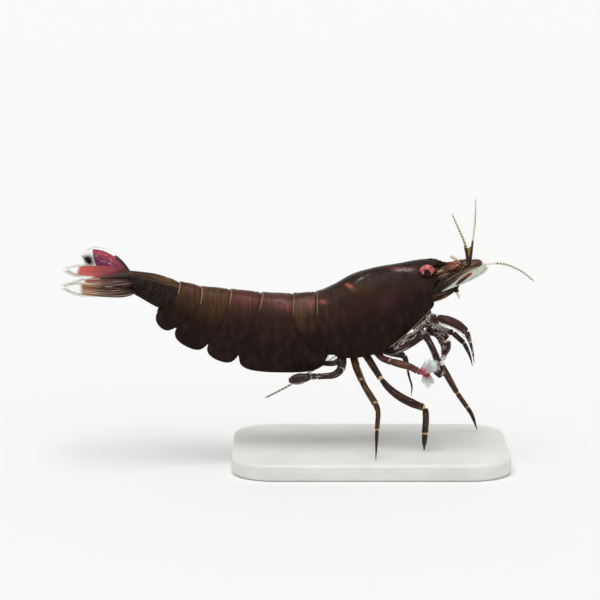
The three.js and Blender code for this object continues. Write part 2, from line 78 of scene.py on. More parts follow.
class Side(Enum):
    """The animal's sides, with the sign that Y takes there."""

    RIGHT = -1
    LEFT = 1

    @property
    def word(self) -> str:
        """The side's name as the nodes spell it."""
        return self.name.lower()

    @classmethod
    def of(cls, node: str) -> "Side":
        """The side that a node's name tells. A piece on the middle line counts as left."""
        return cls.RIGHT if "right" in node else cls.LEFT

    def point(self, spot: Array | Spot) -> Array:
        """Points given by their distance from the middle plane, moved to this side."""
        return np.asarray(spot, float)[..., :3] * np.array([1, self.value, 1])


# ---- curves and ramps
def ease(low: float, high: float, value: Array) -> Array:
    """0 below low, 1 above high and an S-shaped cubic between them."""
    share = np.clip((np.asarray(value, float) - low) / (high - low), 0, 1)
    return share * share * (3 - 2 * share)


def bell(value: Array, middle: float, width: float) -> Array:
    """A Gaussian hump of height 1 round middle."""
    return np.exp(-(((np.asarray(value, float) - middle) / width) ** 2))


def mix(a: Array, b: Array, share: Array) -> Array:
    """The straight mix of a and b."""
    return a + (b - a) * share


def unit(vectors: Array) -> Array:
    """The vectors scaled to length 1."""
    return vectors / np.maximum(np.linalg.norm(vectors, axis=-1, keepdims=True), 1e-12)


def curve_through(points: Array | Table, at: Array) -> Array:
    """A cubic through all points, with slopes from their neighbours, read at shares of its length.

    Args:
        points: the points that the curve passes, one in each row.
        at: shares of the length, from 0 to 1.

    Returns:
        One row for each share.
    """
    knots = np.asarray(points, float)
    steps = np.linalg.norm(np.diff(knots[:, :3], axis=0), axis=1)
    length = np.concatenate([[0], np.cumsum(np.maximum(steps, 1e-9))])
    slope = np.gradient(knots, length, axis=0) if len(knots) > 2 else np.tile(
        (knots[1] - knots[0]) / length[-1], (2, 1))
    place = np.clip(np.asarray(at, float), 0, 1) * length[-1]
    left = np.clip(np.searchsorted(length, place, side="right") - 1, 0, len(knots) - 2)
    span = (length[left + 1] - length[left])[:, None]
    t = (place - length[left])[:, None] / span
    return (
        (2 * t**3 - 3 * t**2 + 1) * knots[left]
        + (t**3 - 2 * t**2 + t) * span * slope[left]
        + (3 * t**2 - 2 * t**3) * knots[left + 1]
        + (t**3 - t**2) * span * slope[left + 1]
    )


def arch_outline(top: Array, bend: Array, low: Array, down: Array) -> Array:
    """The quadratic curve from top to low that leans towards bend, at each down from 0 to 1."""
    keep = 1 - down
    return keep * keep * top + 2 * keep * down * bend + down * down * low


def circle(count: int) -> Array:
    """Angles evenly round a full turn."""
    return np.linspace(0, 2 * np.pi, count, endpoint=False)


def length_of(path: Array) -> float:
    """The length of a line of points."""
    return float(np.sum(np.linalg.norm(np.diff(path, axis=0), axis=1)))


def read_off(at: Array, places: Array, *lines: Array) -> list[Array]:
    """Each line of points read at some places by straight steps between its rows."""
    return [np.stack([np.interp(at, places, line[:, k]) for k in range(3)], -1) for line in lines]


def rails(path: Array, wide: Array) -> tuple[Array, Array, Array]:
    """Directions along a path.

    Args:
        path: the stations.
        wide: the direction that the section's width leans to.

    Returns:
        The tangent, the direction of the width, and the direction through the piece.
    """
    along = unit(np.gradient(path, axis=0))
    across = np.broadcast_to(np.asarray(wide, float), path.shape)
    across = unit(across - np.sum(across * along, axis=1, keepdims=True) * along)
    return along, across, np.cross(along, across)


def ring_sweep(path: Array, wide: Array, half_wide: Array, half_deep: Array, sides: int,
               square: float = 1.0) -> Array:
    """An ellipse carried along a path: centre + wide*cos + deep*sin, a power of cos and sin squaring it.

    Args:
        path: the stations.
        wide: the direction of the ellipse's width.
        half_wide: half widths, one for each station.
        half_deep: half depths, one for each station.
        sides: points round the section.
        square: under 1 makes the section squarer.

    Returns:
        The grid of points, stations by sides.
    """
    _, across, through = rails(path, wide)
    turn = circle(sides)
    c, s = np.cos(turn), np.sin(turn)
    c, s = np.sign(c) * np.abs(c) ** square, np.sign(s) * np.abs(s) ** square
    return (
        path[:, None]
        + across[:, None] * (np.broadcast_to(half_wide, len(path))[:, None] * c)[..., None]
        + through[:, None] * (np.broadcast_to(half_deep, len(path))[:, None] * s)[..., None]
    )


def globe(rows: int, columns: int, gap: float) -> Array:
    """A ball of radius 1 with its poles above and below: (sin a cos b, sin a sin b, cos a)."""
    a, b = np.linspace(gap, np.pi - gap, rows)[:, None], circle(columns)
    return np.stack(np.broadcast_arrays(np.sin(a) * np.cos(b), np.sin(a) * np.sin(b), np.cos(a)), -1)


def spread(values: Row, share: Array) -> Array:
    """Values given at even steps, read at shares from 0 to 1 by straight steps."""
    return np.interp(share, np.linspace(0, 1, len(values)), values)


def smooth_spread(values: Row, share: Array) -> Array:
    """Values given at even steps, read at shares of the length of the curve through them."""
    return curve_through(np.stack([np.linspace(0, 1, len(values)), values], -1), share)[:, 1]


def end_spacing(count: int) -> Array:
    """Shares from 0 to 1, closer together at both ends, where a piece is rounded off."""
    return 0.5 - 0.5 * np.cos(np.linspace(0, np.pi, count))


def quarter(share: Array) -> Array:
    """A quarter circle's rise, from 0 at 0 to 1 at 1 and beyond."""
    return np.sqrt(np.clip(1 - (1 - np.clip(share, 0, 1)) ** 2, 0, 1))


def rounded_ends(share: Array, start: float, end: float) -> Array:
    """1 along the middle, falling to near 0 over start and end like a quarter circle."""
    first = quarter(share / start) if start > 0 else 1
    return np.maximum(first * quarter((1 - share) / end), 0.02)


# ---- meshes
def placed(points: Array) -> Array:
    """Millimetres in the shrimp's frame, turned into the model's metres.

    Args:
        points: places in the shrimp's own frame.

    Returns:
        The same places in the model.
    """
    low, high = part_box("stand_base")
    origin = np.array([(low.x + high.x) / 2 - BASE_CENTRE_X * MM, 0, high.z - BASE_TOP * MM])
    return points * MM + origin


class Shape:
    """A mesh in the making: closed grids of points, with values painted on them."""

    uv_name = "Surface"

    def __init__(self) -> None:
        """Starts with nothing in it."""
        self.points: list[Array] = []
        self.quads: list[Array] = []
        self.tris: list[Array] = []
        self.quad_uv: list[Array] = []
        self.tri_uv: list[Array] = []
        self.marks: dict[str, list[Array]] = {}
        self.count = 0

    def add(self, grid: Array, rows: Array | None = None, **marks: Array) -> None:
        """Adds a tube-like grid: rows along it, columns round it, both ends closed by a fan.

        Args:
            grid: rows by columns by 3, in millimetres.
            rows: how far up the UV map each row lies, or None for evenly from 0 to 1.
            marks: values named for what they paint, each fitting rows by columns.
        """
        rows = np.linspace(0, 1, len(grid)) if rows is None else rows
        self.add_many(grid[None], self.uv_patch(rows, grid.shape[1]), np.zeros((1, 2)), **marks)

    @staticmethod
    def uv_patch(rows: Array, columns: int) -> Array:
        """UV places at the given rows and evenly round the columns, rows by columns + 1 by 2."""
        return np.stack(np.broadcast_arrays(np.linspace(0, 1, columns + 1), rows[:, None]), -1)

    def add_many(self, grids: Array, patch: Array, places: Array, **marks: Array) -> None:
        """Adds many alike tubes at once, such as bristles.

        Args:
            grids: tubes by rows by columns by 3, in millimetres.
            patch: one tube's UV places, rows by columns + 1 by 2.
            places: how far each tube's UV places are moved, tubes by 2.
            marks: values fitting tubes by rows by columns.
        """
        tubes, rows, cols = grids.shape[:3]
        size = rows * cols + 2
        poles = np.stack([grids[:, 0].mean(1), grids[:, -1].mean(1)], 1)
        flat = np.concatenate([grids.reshape(tubes, -1, 3), poles], 1)
        index = np.arange(rows * cols).reshape(rows, cols)
        beside = np.roll(index, -1, axis=1)
        quads = np.stack([index[:-1], beside[:-1], beside[1:], index[1:]], -1).reshape(-1, 4)
        tris = np.concatenate([
            np.stack([beside[0], index[0], np.full(cols, size - 2)], -1),
            np.stack([index[-1], beside[-1], np.full(cols, size - 1)], -1)])
        corners = (patch[:-1, :-1], patch[:-1, 1:], patch[1:, 1:], patch[1:, :-1])
        quad_uv = np.stack(corners, -2).reshape(-1, 4, 2)
        middle = (patch[:, :-1] + patch[:, 1:]) / 2
        tri_uv = np.concatenate([
            np.stack([patch[0, 1:], patch[0, :-1], middle[0]], -2),
            np.stack([patch[-1, :-1], patch[-1, 1:], middle[-1]], -2)])
        if self.volume(flat[0], quads, tris) < 0:
            quads, tris = quads[:, ::-1], tris[:, ::-1]
            quad_uv, tri_uv = quad_uv[:, ::-1], tri_uv[:, ::-1]
        shift = self.count + np.arange(tubes)[:, None, None] * size
        self.points.append(flat.reshape(-1, 3))
        self.quads.append((quads + shift).reshape(-1, 4))
        self.tris.append((tris + shift).reshape(-1, 3))
        self.quad_uv.append((quad_uv + places[:, None, None]).reshape(-1, 4, 2))
        self.tri_uv.append((tri_uv + places[:, None, None]).reshape(-1, 3, 2))
        for name in sorted(set(self.marks) | set(marks)):
            painted = np.broadcast_to(np.asarray(marks.get(name, 0), float), (tubes, rows, cols))
            values = np.concatenate([painted.reshape(tubes, -1), painted[:, 0].mean(1, keepdims=True),
                                     painted[:, -1].mean(1, keepdims=True)], 1).ravel()
            self.marks.setdefault(name, [np.zeros(self.count)] if self.count else []).append(values)
        self.count += tubes * size

    @staticmethod
    def volume(points: Array, quads: Array, tris: Array) -> float:
        """Six times the volume that the faces close, positive when they point outwards.

        Args:
            points: the corners.
            quads: the corners' numbers for each four-sided face.
            tris: the same for each triangle.

        Returns:
            The sum of a . (b x c) over all triangles.
        """
        faces = np.concatenate([tris, quads[:, :3], quads[:, [0, 2, 3]]])
        a, b, c = (points[faces[:, k]] - points.mean(0) for k in range(3))
        return float(np.sum(a * np.cross(b, c)))

    def finish(self, name: str, slot: str, finish: "Finish", *nodes: str, sharp: float = 0.0) -> None:
        """Makes the piece, dresses it, ties it to the body and names the nodes that it stands for.

        Args:
            name: the piece's name.
            slot: the record's material slot, which is not used.
            finish: its material.
            nodes: the CAD nodes that it replaces.
            sharp: if above 0, edges that bend more than this many degrees stay sharp.
        """
        points = placed(np.concatenate(self.points))
        quads, tris = np.concatenate(self.quads), np.concatenate(self.tris)
        mesh = bpy.data.meshes.new(name)
        mesh.vertices.add(len(points))
        mesh.vertices.foreach_set("co", points.astype(np.float32).ravel())
        corners = np.concatenate([quads.ravel(), tris.ravel()])
        sizes = np.concatenate([np.full(len(quads), 4), np.full(len(tris), 3)])
        mesh.loops.add(len(corners))
        mesh.loops.foreach_set("vertex_index", corners.astype(np.int32))
        mesh.polygons.add(len(sizes))
        mesh.polygons.foreach_set("loop_start", (np.cumsum(sizes) - sizes).astype(np.int32))
        mesh.polygons.foreach_set("loop_total", sizes.astype(np.int32))
        mesh.polygons.foreach_set("use_smooth", np.ones(len(sizes), bool))
        layer = mesh.uv_layers.new(name=self.uv_name)
        uv = np.concatenate([part.reshape(-1, 2) for part in (*self.quad_uv, *self.tri_uv)])
        layer.data.foreach_set("uv", uv.astype(np.float32).ravel())
        for mark, values in self.marks.items():
            attribute = mesh.attributes.new(mark, "FLOAT", "POINT")
            attribute.data.foreach_set("value", np.concatenate(values).astype(np.float32))
        mesh.update(calc_edges=True)
        mesh.validate()
        mesh.materials.append(finish.material())
        if sharp:
            mesh.set_sharp_from_angle(angle=math.radians(sharp))
        piece = bpy.data.objects.new(name, mesh)
        bpy.context.scene.collection.objects.link(piece)
        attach(piece, "root")
        if nodes:
            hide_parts(*nodes)
        log.info("%s: %d points, stands for %s", name, len(points), ", ".join(nodes) or "nothing")


class Tuft(Shape):
    """A mesh of bristles, whose UV map is named OFBake."""

    uv_name = "OFBake"


# ---- materials
class Paint:
    """Builds a node material on its principled shader. Lengths are given in millimetres."""

    def __init__(self, name: str) -> None:
        """Makes an empty material with its shader.

        Args:
            name: the material's name.
        """
        self.material = bpy.data.materials.new(name)
        self.material.use_nodes = True
        self.tree = self.material.node_tree
        self.shader = self.tree.nodes["Principled BSDF"]
        self.coordinates = self.put("ShaderNodeTexCoord").outputs["Object"]
        self.colour: object = None

    def put(self, kind: str, inputs: dict | None = None, **settings: object) -> bpy.types.Node:
        """Adds a node.

        Args:
            kind: the node's type.
            inputs: sockets or values for its inputs, by name or number.
            settings: its own settings.

        Returns:
            The node.
        """
        node = self.tree.nodes.new(kind)
        for key, value in settings.items():
            setattr(node, key, value)
        for key, value in (inputs or {}).items():
            self.feed(node.inputs[key], value)
        return node

    def feed(self, socket: Socket, value: object) -> None:
        """Links a socket to another, or sets its value.

        Args:
            socket: the socket that is fed.
            value: another socket, a number, or a colour without its alpha.
        """
        if isinstance(value, Socket):
            self.tree.links.new(value, socket)
        elif isinstance(value, tuple) and len(value) == 3 and socket.type == "RGBA":
            socket.default_value = (*value, 1.0)
        else:
            socket.default_value = value

    def mark(self, name: str) -> Socket:
        """A value painted on the mesh."""
        return self.put("ShaderNodeAttribute", attribute_name=name).outputs["Fac"]

    def axis(self, letter: str) -> Socket:
        """One of the object coordinates, in metres."""
        return self.put("ShaderNodeSeparateXYZ", {0: self.coordinates}).outputs[letter]

    def own_map(self) -> Socket:
        """The piece's own UV map."""
        return self.put("ShaderNodeUVMap").outputs[0]

    def stretched(self, x: float, y: float, z: float, vector: Socket | None = None) -> Socket:
        """The vector, or the object coordinates, scaled along each axis, so that patterns are drawn out."""
        inputs = {"Vector": vector or self.coordinates, "Scale": (x, y, z)}
        return self.put("ShaderNodeMapping", inputs).outputs[0]

    def noise(self, size: float, detail: float = 4.0, vector: Socket | None = None,
              rough: float = 0.55) -> Socket:
        """Soft noise whose lumps are about size millimetres across."""
        return self.put("ShaderNodeTexNoise", {"Vector": vector or self.coordinates, "Scale": 1 / (size * MM),
                                               "Detail": detail, "Roughness": rough}).outputs["Fac"]

    def cells(self, size: float) -> Socket:
        """Distance to the middles of cells about size millimetres across."""
        inputs = {"Vector": self.coordinates, "Scale": 1 / (size * MM)}
        return self.put("ShaderNodeTexVoronoi", inputs).outputs["Distance"]

    def range(self, value: Socket, low: float, high: float, to_low: float = 0.0,
              to_high: float = 1.0) -> Socket:
        """An S-shaped change from to_low to to_high as value goes from low to high."""
        inputs = {0: value, 1: low, 2: high, 3: to_low, 4: to_high}
        return self.put("ShaderNodeMapRange", inputs, interpolation_type="SMOOTHSTEP").outputs[0]

    def sum(self, kind: str, a: object, b: object) -> Socket:
        """An arithmetic step such as ADD or MULTIPLY."""
        return self.put("ShaderNodeMath", {0: a, 1: b}, operation=kind).outputs[0]

    def times(self, a: object, b: object) -> Socket:
        """The product of two values."""
        return self.sum("MULTIPLY", a, b)

    def blend(self, share: object, a: object, b: object, kind: str = "MIX") -> Socket:
        """Mixes two colours."""
        return self.put("ShaderNodeMix", {0: share, 6: a, 7: b}, data_type="RGBA", blend_type=kind).outputs[2]

    def cover(self, share: object, top: Tone | Socket) -> None:
        """Lays a screen colour, or a worked-out one, over the colour so far."""
        self.colour = self.blend(share, self.colour, tone(top) if isinstance(top, tuple) else top)

    def darken(self, share: object, part: float, top: Tone) -> None:
        """Covers a share with the colour so far after a part of another is mixed into it."""
        self.cover(share, self.blend(part, self.colour, tone(top)))

    def ragged(self, value: Socket, cloud: Socket, depth: float) -> Socket:
        """A value made uneven: value + depth * (cloud - 0.5)."""
        return self.sum("ADD", value, self.times(self.sum("SUBTRACT", cloud, 0.5), depth))

    def ramp(self, value: Socket, stops: tuple[tuple[float, Tone], ...]) -> Socket:
        """A colour for each value, mixed between stops.

        Args:
            value: what is looked up.
            stops: places from 0 to 1 with their colours, the first and the last stop first.

        Returns:
            The colour.
        """
        node = self.put("ShaderNodeValToRGB", {0: value})
        elements = node.color_ramp.elements
        for number, (place, colour) in enumerate(stops):
            element = elements[number] if number < 2 else elements.new(place)
            element.position = place
            element.color = (*tone(colour), 1.0)
        return node.outputs[0]

    def bump(self, height: Socket, depth: float, strength: float = 1.0,
             under: Socket | None = None) -> Socket:
        """A normal bent by a height that stands for depth millimetres, on top of another one."""
        inputs = {"Height": height, "Strength": strength, "Distance": depth * MM}
        return self.put("ShaderNodeBump", inputs | ({"Normal": under} if under else {})).outputs[0]

    def dress(self, **inputs: object) -> Material:
        """Feeds the colour so far and the other inputs to the shader's own sockets.

        Args:
            inputs: values and sockets, by the socket's name with _ for a space.

        Returns:
            The material.
        """
        for key, value in {"Base_Color": self.colour, **inputs}.items():
            self.feed(self.shader.inputs[key.replace("_", " ")], value)
        return self.material


def tone(colour: Tone) -> Spot:
    """A screen colour as linear light, by the usual 2.4 power with a straight toe."""
    return tuple(c / 12.92 if c <= 0.04045 else ((c + 0.055) / 1.055) ** 2.4
                 for c in (value / 255 for value in colour))


class Finish:
    """A material that is made once and then shared."""

    @cache
    def material(self) -> Material:
        """The finish's material, made at its first use."""
        return self.paint()

    def paint(self) -> Material:
        """Builds the material."""
        raise NotImplementedError


@dataclass(frozen=True)
class ShellFinish(Finish):
    """Dark, wet-looking shell: brown on the back, near black on the flanks, with fine upright lines. The thin
    dark line along the ridge is painted shade, the lighter band on the back is partly its own brown and
    partly painted sheen, and the belly is darkened partly as painted shade.
    """

    # ridge is painted shade along the top; back is partly painted sheen; belly is partly painted shade.
    ridge: Tone = (26, 18, 15)
    back: Tone = (50, 37, 32)
    flank: Tone = (49, 33, 28)
    belly: Tone = (34, 22, 18)
    cream: Tone = (194, 164, 142)
    pink: Tone = (112, 54, 56)
    glow: Tone = (190, 104, 88)
    violet: Tone = (66, 38, 42)
    film: Tone = (78, 60, 57)
    olive: Tone = (84, 58, 30)
    # The next two colours are painted highlights: a whitish shine and speckled glints.
    shine: Tone = (178, 160, 152)
    speck: Tone = (206, 184, 184)
    black: Tone = (13, 9, 8)
    streak: Tone = (146, 104, 66)
    fleck: Tone = (16, 11, 9)
    lengthwise: bool = False  # whether the fine lines run along the body instead of upright

    def paint(self) -> Material:
        """Mixes the gradient down the flank, which is partly painted light and shade, with marks painted on
        the mesh, some of them painted highlights and sheen, and adds lines and pores.

        Returns:
            The material.
        """
        paint = Paint("shell")
        down = paint.mark("down")
        cloud = paint.noise(1.6, 5)
        grain = paint.stretched(1, 0.12, 0.1)
        if self.lengthwise:
            round_it = paint.times(down, 1.8 * MM)
            inputs = {0: paint.times(paint.axis("X"), 0.08), 1: round_it}
            grain = paint.put("ShaderNodeCombineXYZ", inputs).outputs[0]
        lines = paint.noise(0.16, 3, grain)
        # Ramp down the flank: a ridge line of painted shade, a back band that is partly painted sheen, and
        # flanks and belly darkened partly as painted shade.
        paint.colour = paint.ramp(paint.ragged(down, cloud, 0.16), (
            (0, self.ridge), (1, self.belly), (0.035, self.back), (0.1, self.back), (0.32, self.flank),
            (0.62, self.belly)))
        film = paint.range(paint.noise(0.45, 6, paint.stretched(1, 0.5, 0.5)), 0.42, 0.7)
        paint.cover(paint.times(film, 0.2), self.film)
        olive = paint.blend(0.6, paint.colour, tone(self.olive))
        paint.cover(paint.mark("olive"), olive)
        # pink is a painted sheen under the back of the plates and the carapace, and the rostrum's own red.
        paint.cover(paint.mark("pink"), self.pink)
        paint.cover(paint.mark("violet"), self.violet)
        ragged = paint.range(paint.noise(0.3, 5), 0.26, 0.66)
        paint.cover(paint.times(paint.mark("glow"), ragged), self.glow)
        # Painted highlights: a whitish shine, then speckled glints.
        paint.cover(paint.times(paint.mark("shine"), ragged), self.shine)
        paint.cover(paint.times(paint.range(paint.noise(0.11, 4), 0.5, 0.6), paint.mark("speck")), self.speck)
        paint.cover(paint.mark("dark"), self.black)
        streaks = paint.times(paint.range(lines, 0.4, 0.66), paint.mark("streak"))
        paint.darken(streaks, 0.55, self.streak)
        paint.cover(paint.times(paint.range(paint.cells(0.11), 0.16, 0.05), 0.25), self.fleck)
        rim = paint.range(paint.sum("ADD", paint.mark("rim"), paint.times(cloud, 0.1)), 0.34, 0.95)
        paint.cover(rim, self.cream)
        pores = paint.bump(paint.cells(0.09), 0.004, 0.5)
        normal = paint.bump(lines, 0.012, 0.5, paint.bump(cloud, 0.05, 0.35, pores))
        rough = paint.range(paint.noise(0.5, 4), 0.3, 0.7, 0.24, 0.42)
        return paint.dress(Roughness=rough, Normal=normal, Specular_IOR_Level=0.04)


@dataclass(frozen=True)
class LimbFinish(Finish):
    """A jointed limb: dark shell with amber showing through, an amber streak along one side that is partly a
    painted highlight, and pale skin at the joints.
    """

    dark: Tone
    warm: Tone
    joint: Tone
    sheen: Tone
    warmth: float
    gleam: float = 0.45
    gleam_from: float = 0.6
    fine: float = 9.0
    gloss: float = 0.2
    red: Tone = (206, 98, 68)

    def paint(self) -> Material:
        """Runs amber streaks along the limb, one of them partly a painted highlight along one side, darkens
        its edges and lightens its joints.

        Returns:
            The material.
        """
        paint = Paint("limb")
        cloud = paint.noise(0.35, 4)
        along = paint.noise(0.12, 3, paint.stretched(6, 0.8, 1, paint.own_map()), 0.6)
        streak = paint.noise(ON_MAP, 3, paint.stretched(self.fine, 1.6, 1, paint.own_map()), 0.5)
        paint.colour = tone(self.dark)
        paint.darken(paint.range(cloud, 0.35, 0.7), 0.25, self.warm)
        warm = paint.times(paint.range(streak, 0.42, 0.62), paint.mark("warm"))
        paint.cover(paint.times(warm, self.warmth), self.warm)
        gleam = paint.range(streak, self.gleam_from, self.gleam_from + 0.1)
        paint.cover(paint.times(gleam, self.gleam), self.sheen)
        paint.cover(paint.times(paint.mark("red"), paint.range(paint.noise(0.09, 4), 0.4, 0.62)), self.red)
        pale = paint.sum("ADD", paint.mark("pale"), paint.times(cloud, 0.25))
        paint.cover(paint.range(pale, 0.42, 0.72), self.joint)
        normal = paint.bump(along, 0.01, 0.4, paint.bump(cloud, 0.02, 0.5))
        return paint.dress(Roughness=paint.range(cloud, 0.3, 0.7, 0.24, 0.4), Normal=normal,
                           Specular_IOR_Level=self.gloss)


@dataclass(frozen=True)
class BristleFinish(Finish):
    """Pale, slightly clear bristles, tinted towards their roots."""

    tip: Tone = (240, 237, 228)
    root: Tone = (218, 204, 182)
    tint_to: float = 0.6

    def paint(self) -> Material:
        """Mixes root and tip colours along each bristle.

        Returns:
            The material.
        """
        paint = Paint("bristle")
        shade = paint.range(paint.noise(0.5, 3), 0.3, 0.7, 0.75, 1)
        paint.colour = tone(self.root)
        paint.cover(paint.range(paint.mark("along"), 0.05, self.tint_to), self.tip)
        paint.colour = paint.blend(1, paint.colour, shade, "MULTIPLY")
        normal = paint.bump(paint.noise(0.05, 2), 0.004, 0.4)
        return paint.dress(Roughness=0.45, Normal=normal, Specular_IOR_Level=0.3)


@dataclass(frozen=True)
class EyeFinish(Finish):
    """A faceted pink-red eye with a dark middle."""

    cap: Tone = (216, 112, 110)
    spot: Tone = (138, 44, 46)
    speckle: Tone = (238, 190, 180)
    middle: Tone = (32, 18, 15)
    skin: Tone = (40, 28, 25)

    def paint(self) -> Material:
        """Speckles the cap, darkens the middle and raises a net of facets.

        Returns:
            The material.
        """
        paint = Paint("eye")
        speckle = paint.range(paint.noise(0.09, 3), 0.56, 0.64)
        cloud = paint.noise(0.16, 3)
        paint.colour = tone(self.cap)
        paint.cover(paint.range(cloud, 0.38, 0.62), self.spot)
        paint.cover(paint.times(speckle, 0.75), self.speckle)
        paint.cover(paint.range(paint.ragged(paint.mark("dark"), cloud, 1.1), 0.4, 0.56), self.middle)
        paint.cover(paint.mark("skin"), self.skin)
        normal = paint.bump(paint.cells(0.05), 0.006, 0.7)
        return paint.dress(Roughness=0.3, Normal=normal, Specular_IOR_Level=0.14)


@dataclass(frozen=True)
class BladeFinish(Finish):
    """A tail fan blade or head scale: coloured at its root, clear and pale at its tip, with long veins and
    painted shade in the furrows between them.
    """

    root: Tone
    body: Tone
    bright: Tone
    edge: Tone = (190, 36, 64)
    tip: Tone = (242, 246, 242)
    vein: Tone = (214, 190, 176)
    # furrow: the painted shade between the veins
    furrow: Tone = (28, 16, 15)
    red: Tone = (188, 40, 50)
    dark: Tone = (24, 16, 15)
    tip_from: float = 0.7
    root_to: float = 0.3
    ragged: float = 0.08
    veined: float = 0.56
    vein_from: float = 0.12
    mottled: float = 0.85

    def paint(self) -> Material:
        """Changes colour along the blade, draws veins on its own map with painted shade in the furrows
        between them, and pales it to a clear edge.

        Returns:
            The material.
        """
        paint = Paint("blade")
        along, across = paint.mark("along"), paint.mark("across")
        surface = paint.put("ShaderNodeCombineXYZ", {0: across, 1: along}).outputs[0]
        veins = paint.noise(ON_MAP, 4, paint.stretched(9, 1.1, 1, surface), 0.6)
        cloud = paint.noise(0.5, 4)
        place = paint.ragged(along, veins, self.ragged)
        paint.colour = tone(self.root)
        paint.cover(paint.range(place, 0.05, self.root_to), self.body)
        paint.cover(paint.range(place, self.root_to, self.tip_from), self.bright)
        paint.cover(paint.mark("edge"), self.edge)
        light = paint.times(paint.range(veins, self.veined, self.veined + 0.12), 0.7)
        paint.cover(paint.times(light, paint.range(along, self.vein_from, self.vein_from + 0.2)), self.vein)
        # Painted shade in the furrows between the veins.
        paint.darken(paint.range(veins, 0.46, 0.34), 0.6, self.furrow)
        paint.cover(paint.mark("red"), self.red)
        clear = paint.range(place, self.tip_from - 0.02, self.tip_from + 0.05)
        pale = paint.sum("MAXIMUM", clear, paint.range(paint.mark("pale"), 0.35, 0.65))
        mottle = paint.times(paint.range(veins, 0.42, 0.6), paint.range(paint.noise(0.22, 4), 0.35, 0.6))
        tip = tone(self.tip)
        paint.cover(pale, paint.blend(mottle, tip, tuple(self.mottled * c for c in tip)))
        paint.cover(paint.mark("dark"), self.dark)
        normal = paint.bump(cloud, 0.02, 0.3, paint.bump(veins, 0.03, 0.6))
        return paint.dress(Roughness=paint.range(cloud, 0.3, 0.7, 0.24, 0.42), Normal=normal,
                           Specular_IOR_Level=0.2)


@dataclass(frozen=True)
class FeelerFinish(Finish):
    """A ringed feeler, banded dark and cream."""

    dark: Tone = (58, 42, 30)
    pale: Tone = (188, 172, 126)
    clear: Tone = (236, 236, 230)

    def paint(self) -> Material:
        """Colours the rings by the values painted on the mesh.

        Returns:
            The material.
        """
        paint = Paint("feeler")
        cloud = paint.noise(0.3, 3)
        paint.colour = tone(self.dark)
        paint.cover(paint.range(paint.ragged(paint.mark("ring"), cloud, 0.6), 0.35, 0.65), self.pale)
        paint.cover(paint.mark("root"), self.dark)
        paint.cover(paint.mark("faint"), self.clear)
        normal = paint.bump(paint.noise(0.06, 2), 0.006, 0.5)
        return paint.dress(Roughness=0.36, Normal=normal, Specular_IOR_Level=0.35)


@dataclass(frozen=True)
class StandFinish(Finish):
    """Satin pale plastic with a very fine grain."""

    colour: Tone = (222, 221, 216)
    light: Tone = (232, 231, 227)

    def paint(self) -> Material:
        """A faint cloud of tone and a fine grain.

        Returns:
            The material.
        """
        paint = Paint("stand")
        cloud = paint.noise(2.5, 4)
        paint.colour = tone(self.colour)
        paint.cover(paint.range(cloud, 0.3, 0.7), self.light)
        normal = paint.bump(paint.noise(0.08, 3), 0.004, 0.5)
        return paint.dress(Roughness=paint.range(cloud, 0.3, 0.7, 0.42, 0.52), Normal=normal)


# ---- bristles
@dataclass
class Bristles:
    """Stiff hairs: thin cones with three sides that bend towards their tips."""

    PATCH = 0.003  # the size of each bristle's patch on the bake map
    rng: Rng
    steps: int = 4
    sides: int = 3

    def grow(self, shape: Shape, roots: Array, lean: Array, length: Array, radius: float, bend: Array,
             uv: Array, scatter: float = 0.15) -> None:
        """Adds bristles: root + lean*t + bend*t^2, thinning to a point.

        Args:
            shape: the mesh to add them to.
            roots: where they stand, one in each row.
            lean: their directions.
            length: their lengths in millimetres.
            radius: how thick they are at the root.
            bend: the direction that their tips turn to.
            uv: their roots' places on the bake map.
            scatter: how far the directions stray.
        """
        count = len(roots)
        lean = unit(np.broadcast_to(lean, (count, 3)) + self.rng.normal(0, scatter, (count, 3)))
        length = np.broadcast_to(length, count) * self.rng.uniform(0.75, 1.1, count)
        bend = np.broadcast_to(bend, (count, 3))
        t = np.linspace(0, 1, self.steps)
        path = roots[:, None] + length[:, None, None] * (
            lean[:, None] * t[None, :, None] + bend[:, None] * (t**2)[None, :, None] * 0.5)
        along = unit(np.gradient(path, axis=1))
        helper = np.where(np.abs(along[..., 2:]) > 0.8, SIDEWAYS, UP)
        across = unit(np.cross(along, helper))
        through = np.cross(along, across)
        turn = circle(self.sides)
        thick = radius * (1 - 0.88 * t)[None, :, None, None]
        ring = across[:, :, None] * np.cos(turn)[:, None] + through[:, :, None] * np.sin(turn)[:, None]
        patch = self.PATCH * Shape.uv_patch(t, self.sides)
        shape.add_many(path[:, :, None] + ring * thick, patch, uv, along=t[:, None])


# ---- body plates
@dataclass(frozen=True)
class Section:
    """One upright section of the body: its outline from the back to the side margin and the belly."""

    top: Array
    bend: Array
    low: Array
    half: Array
    hollow: Array


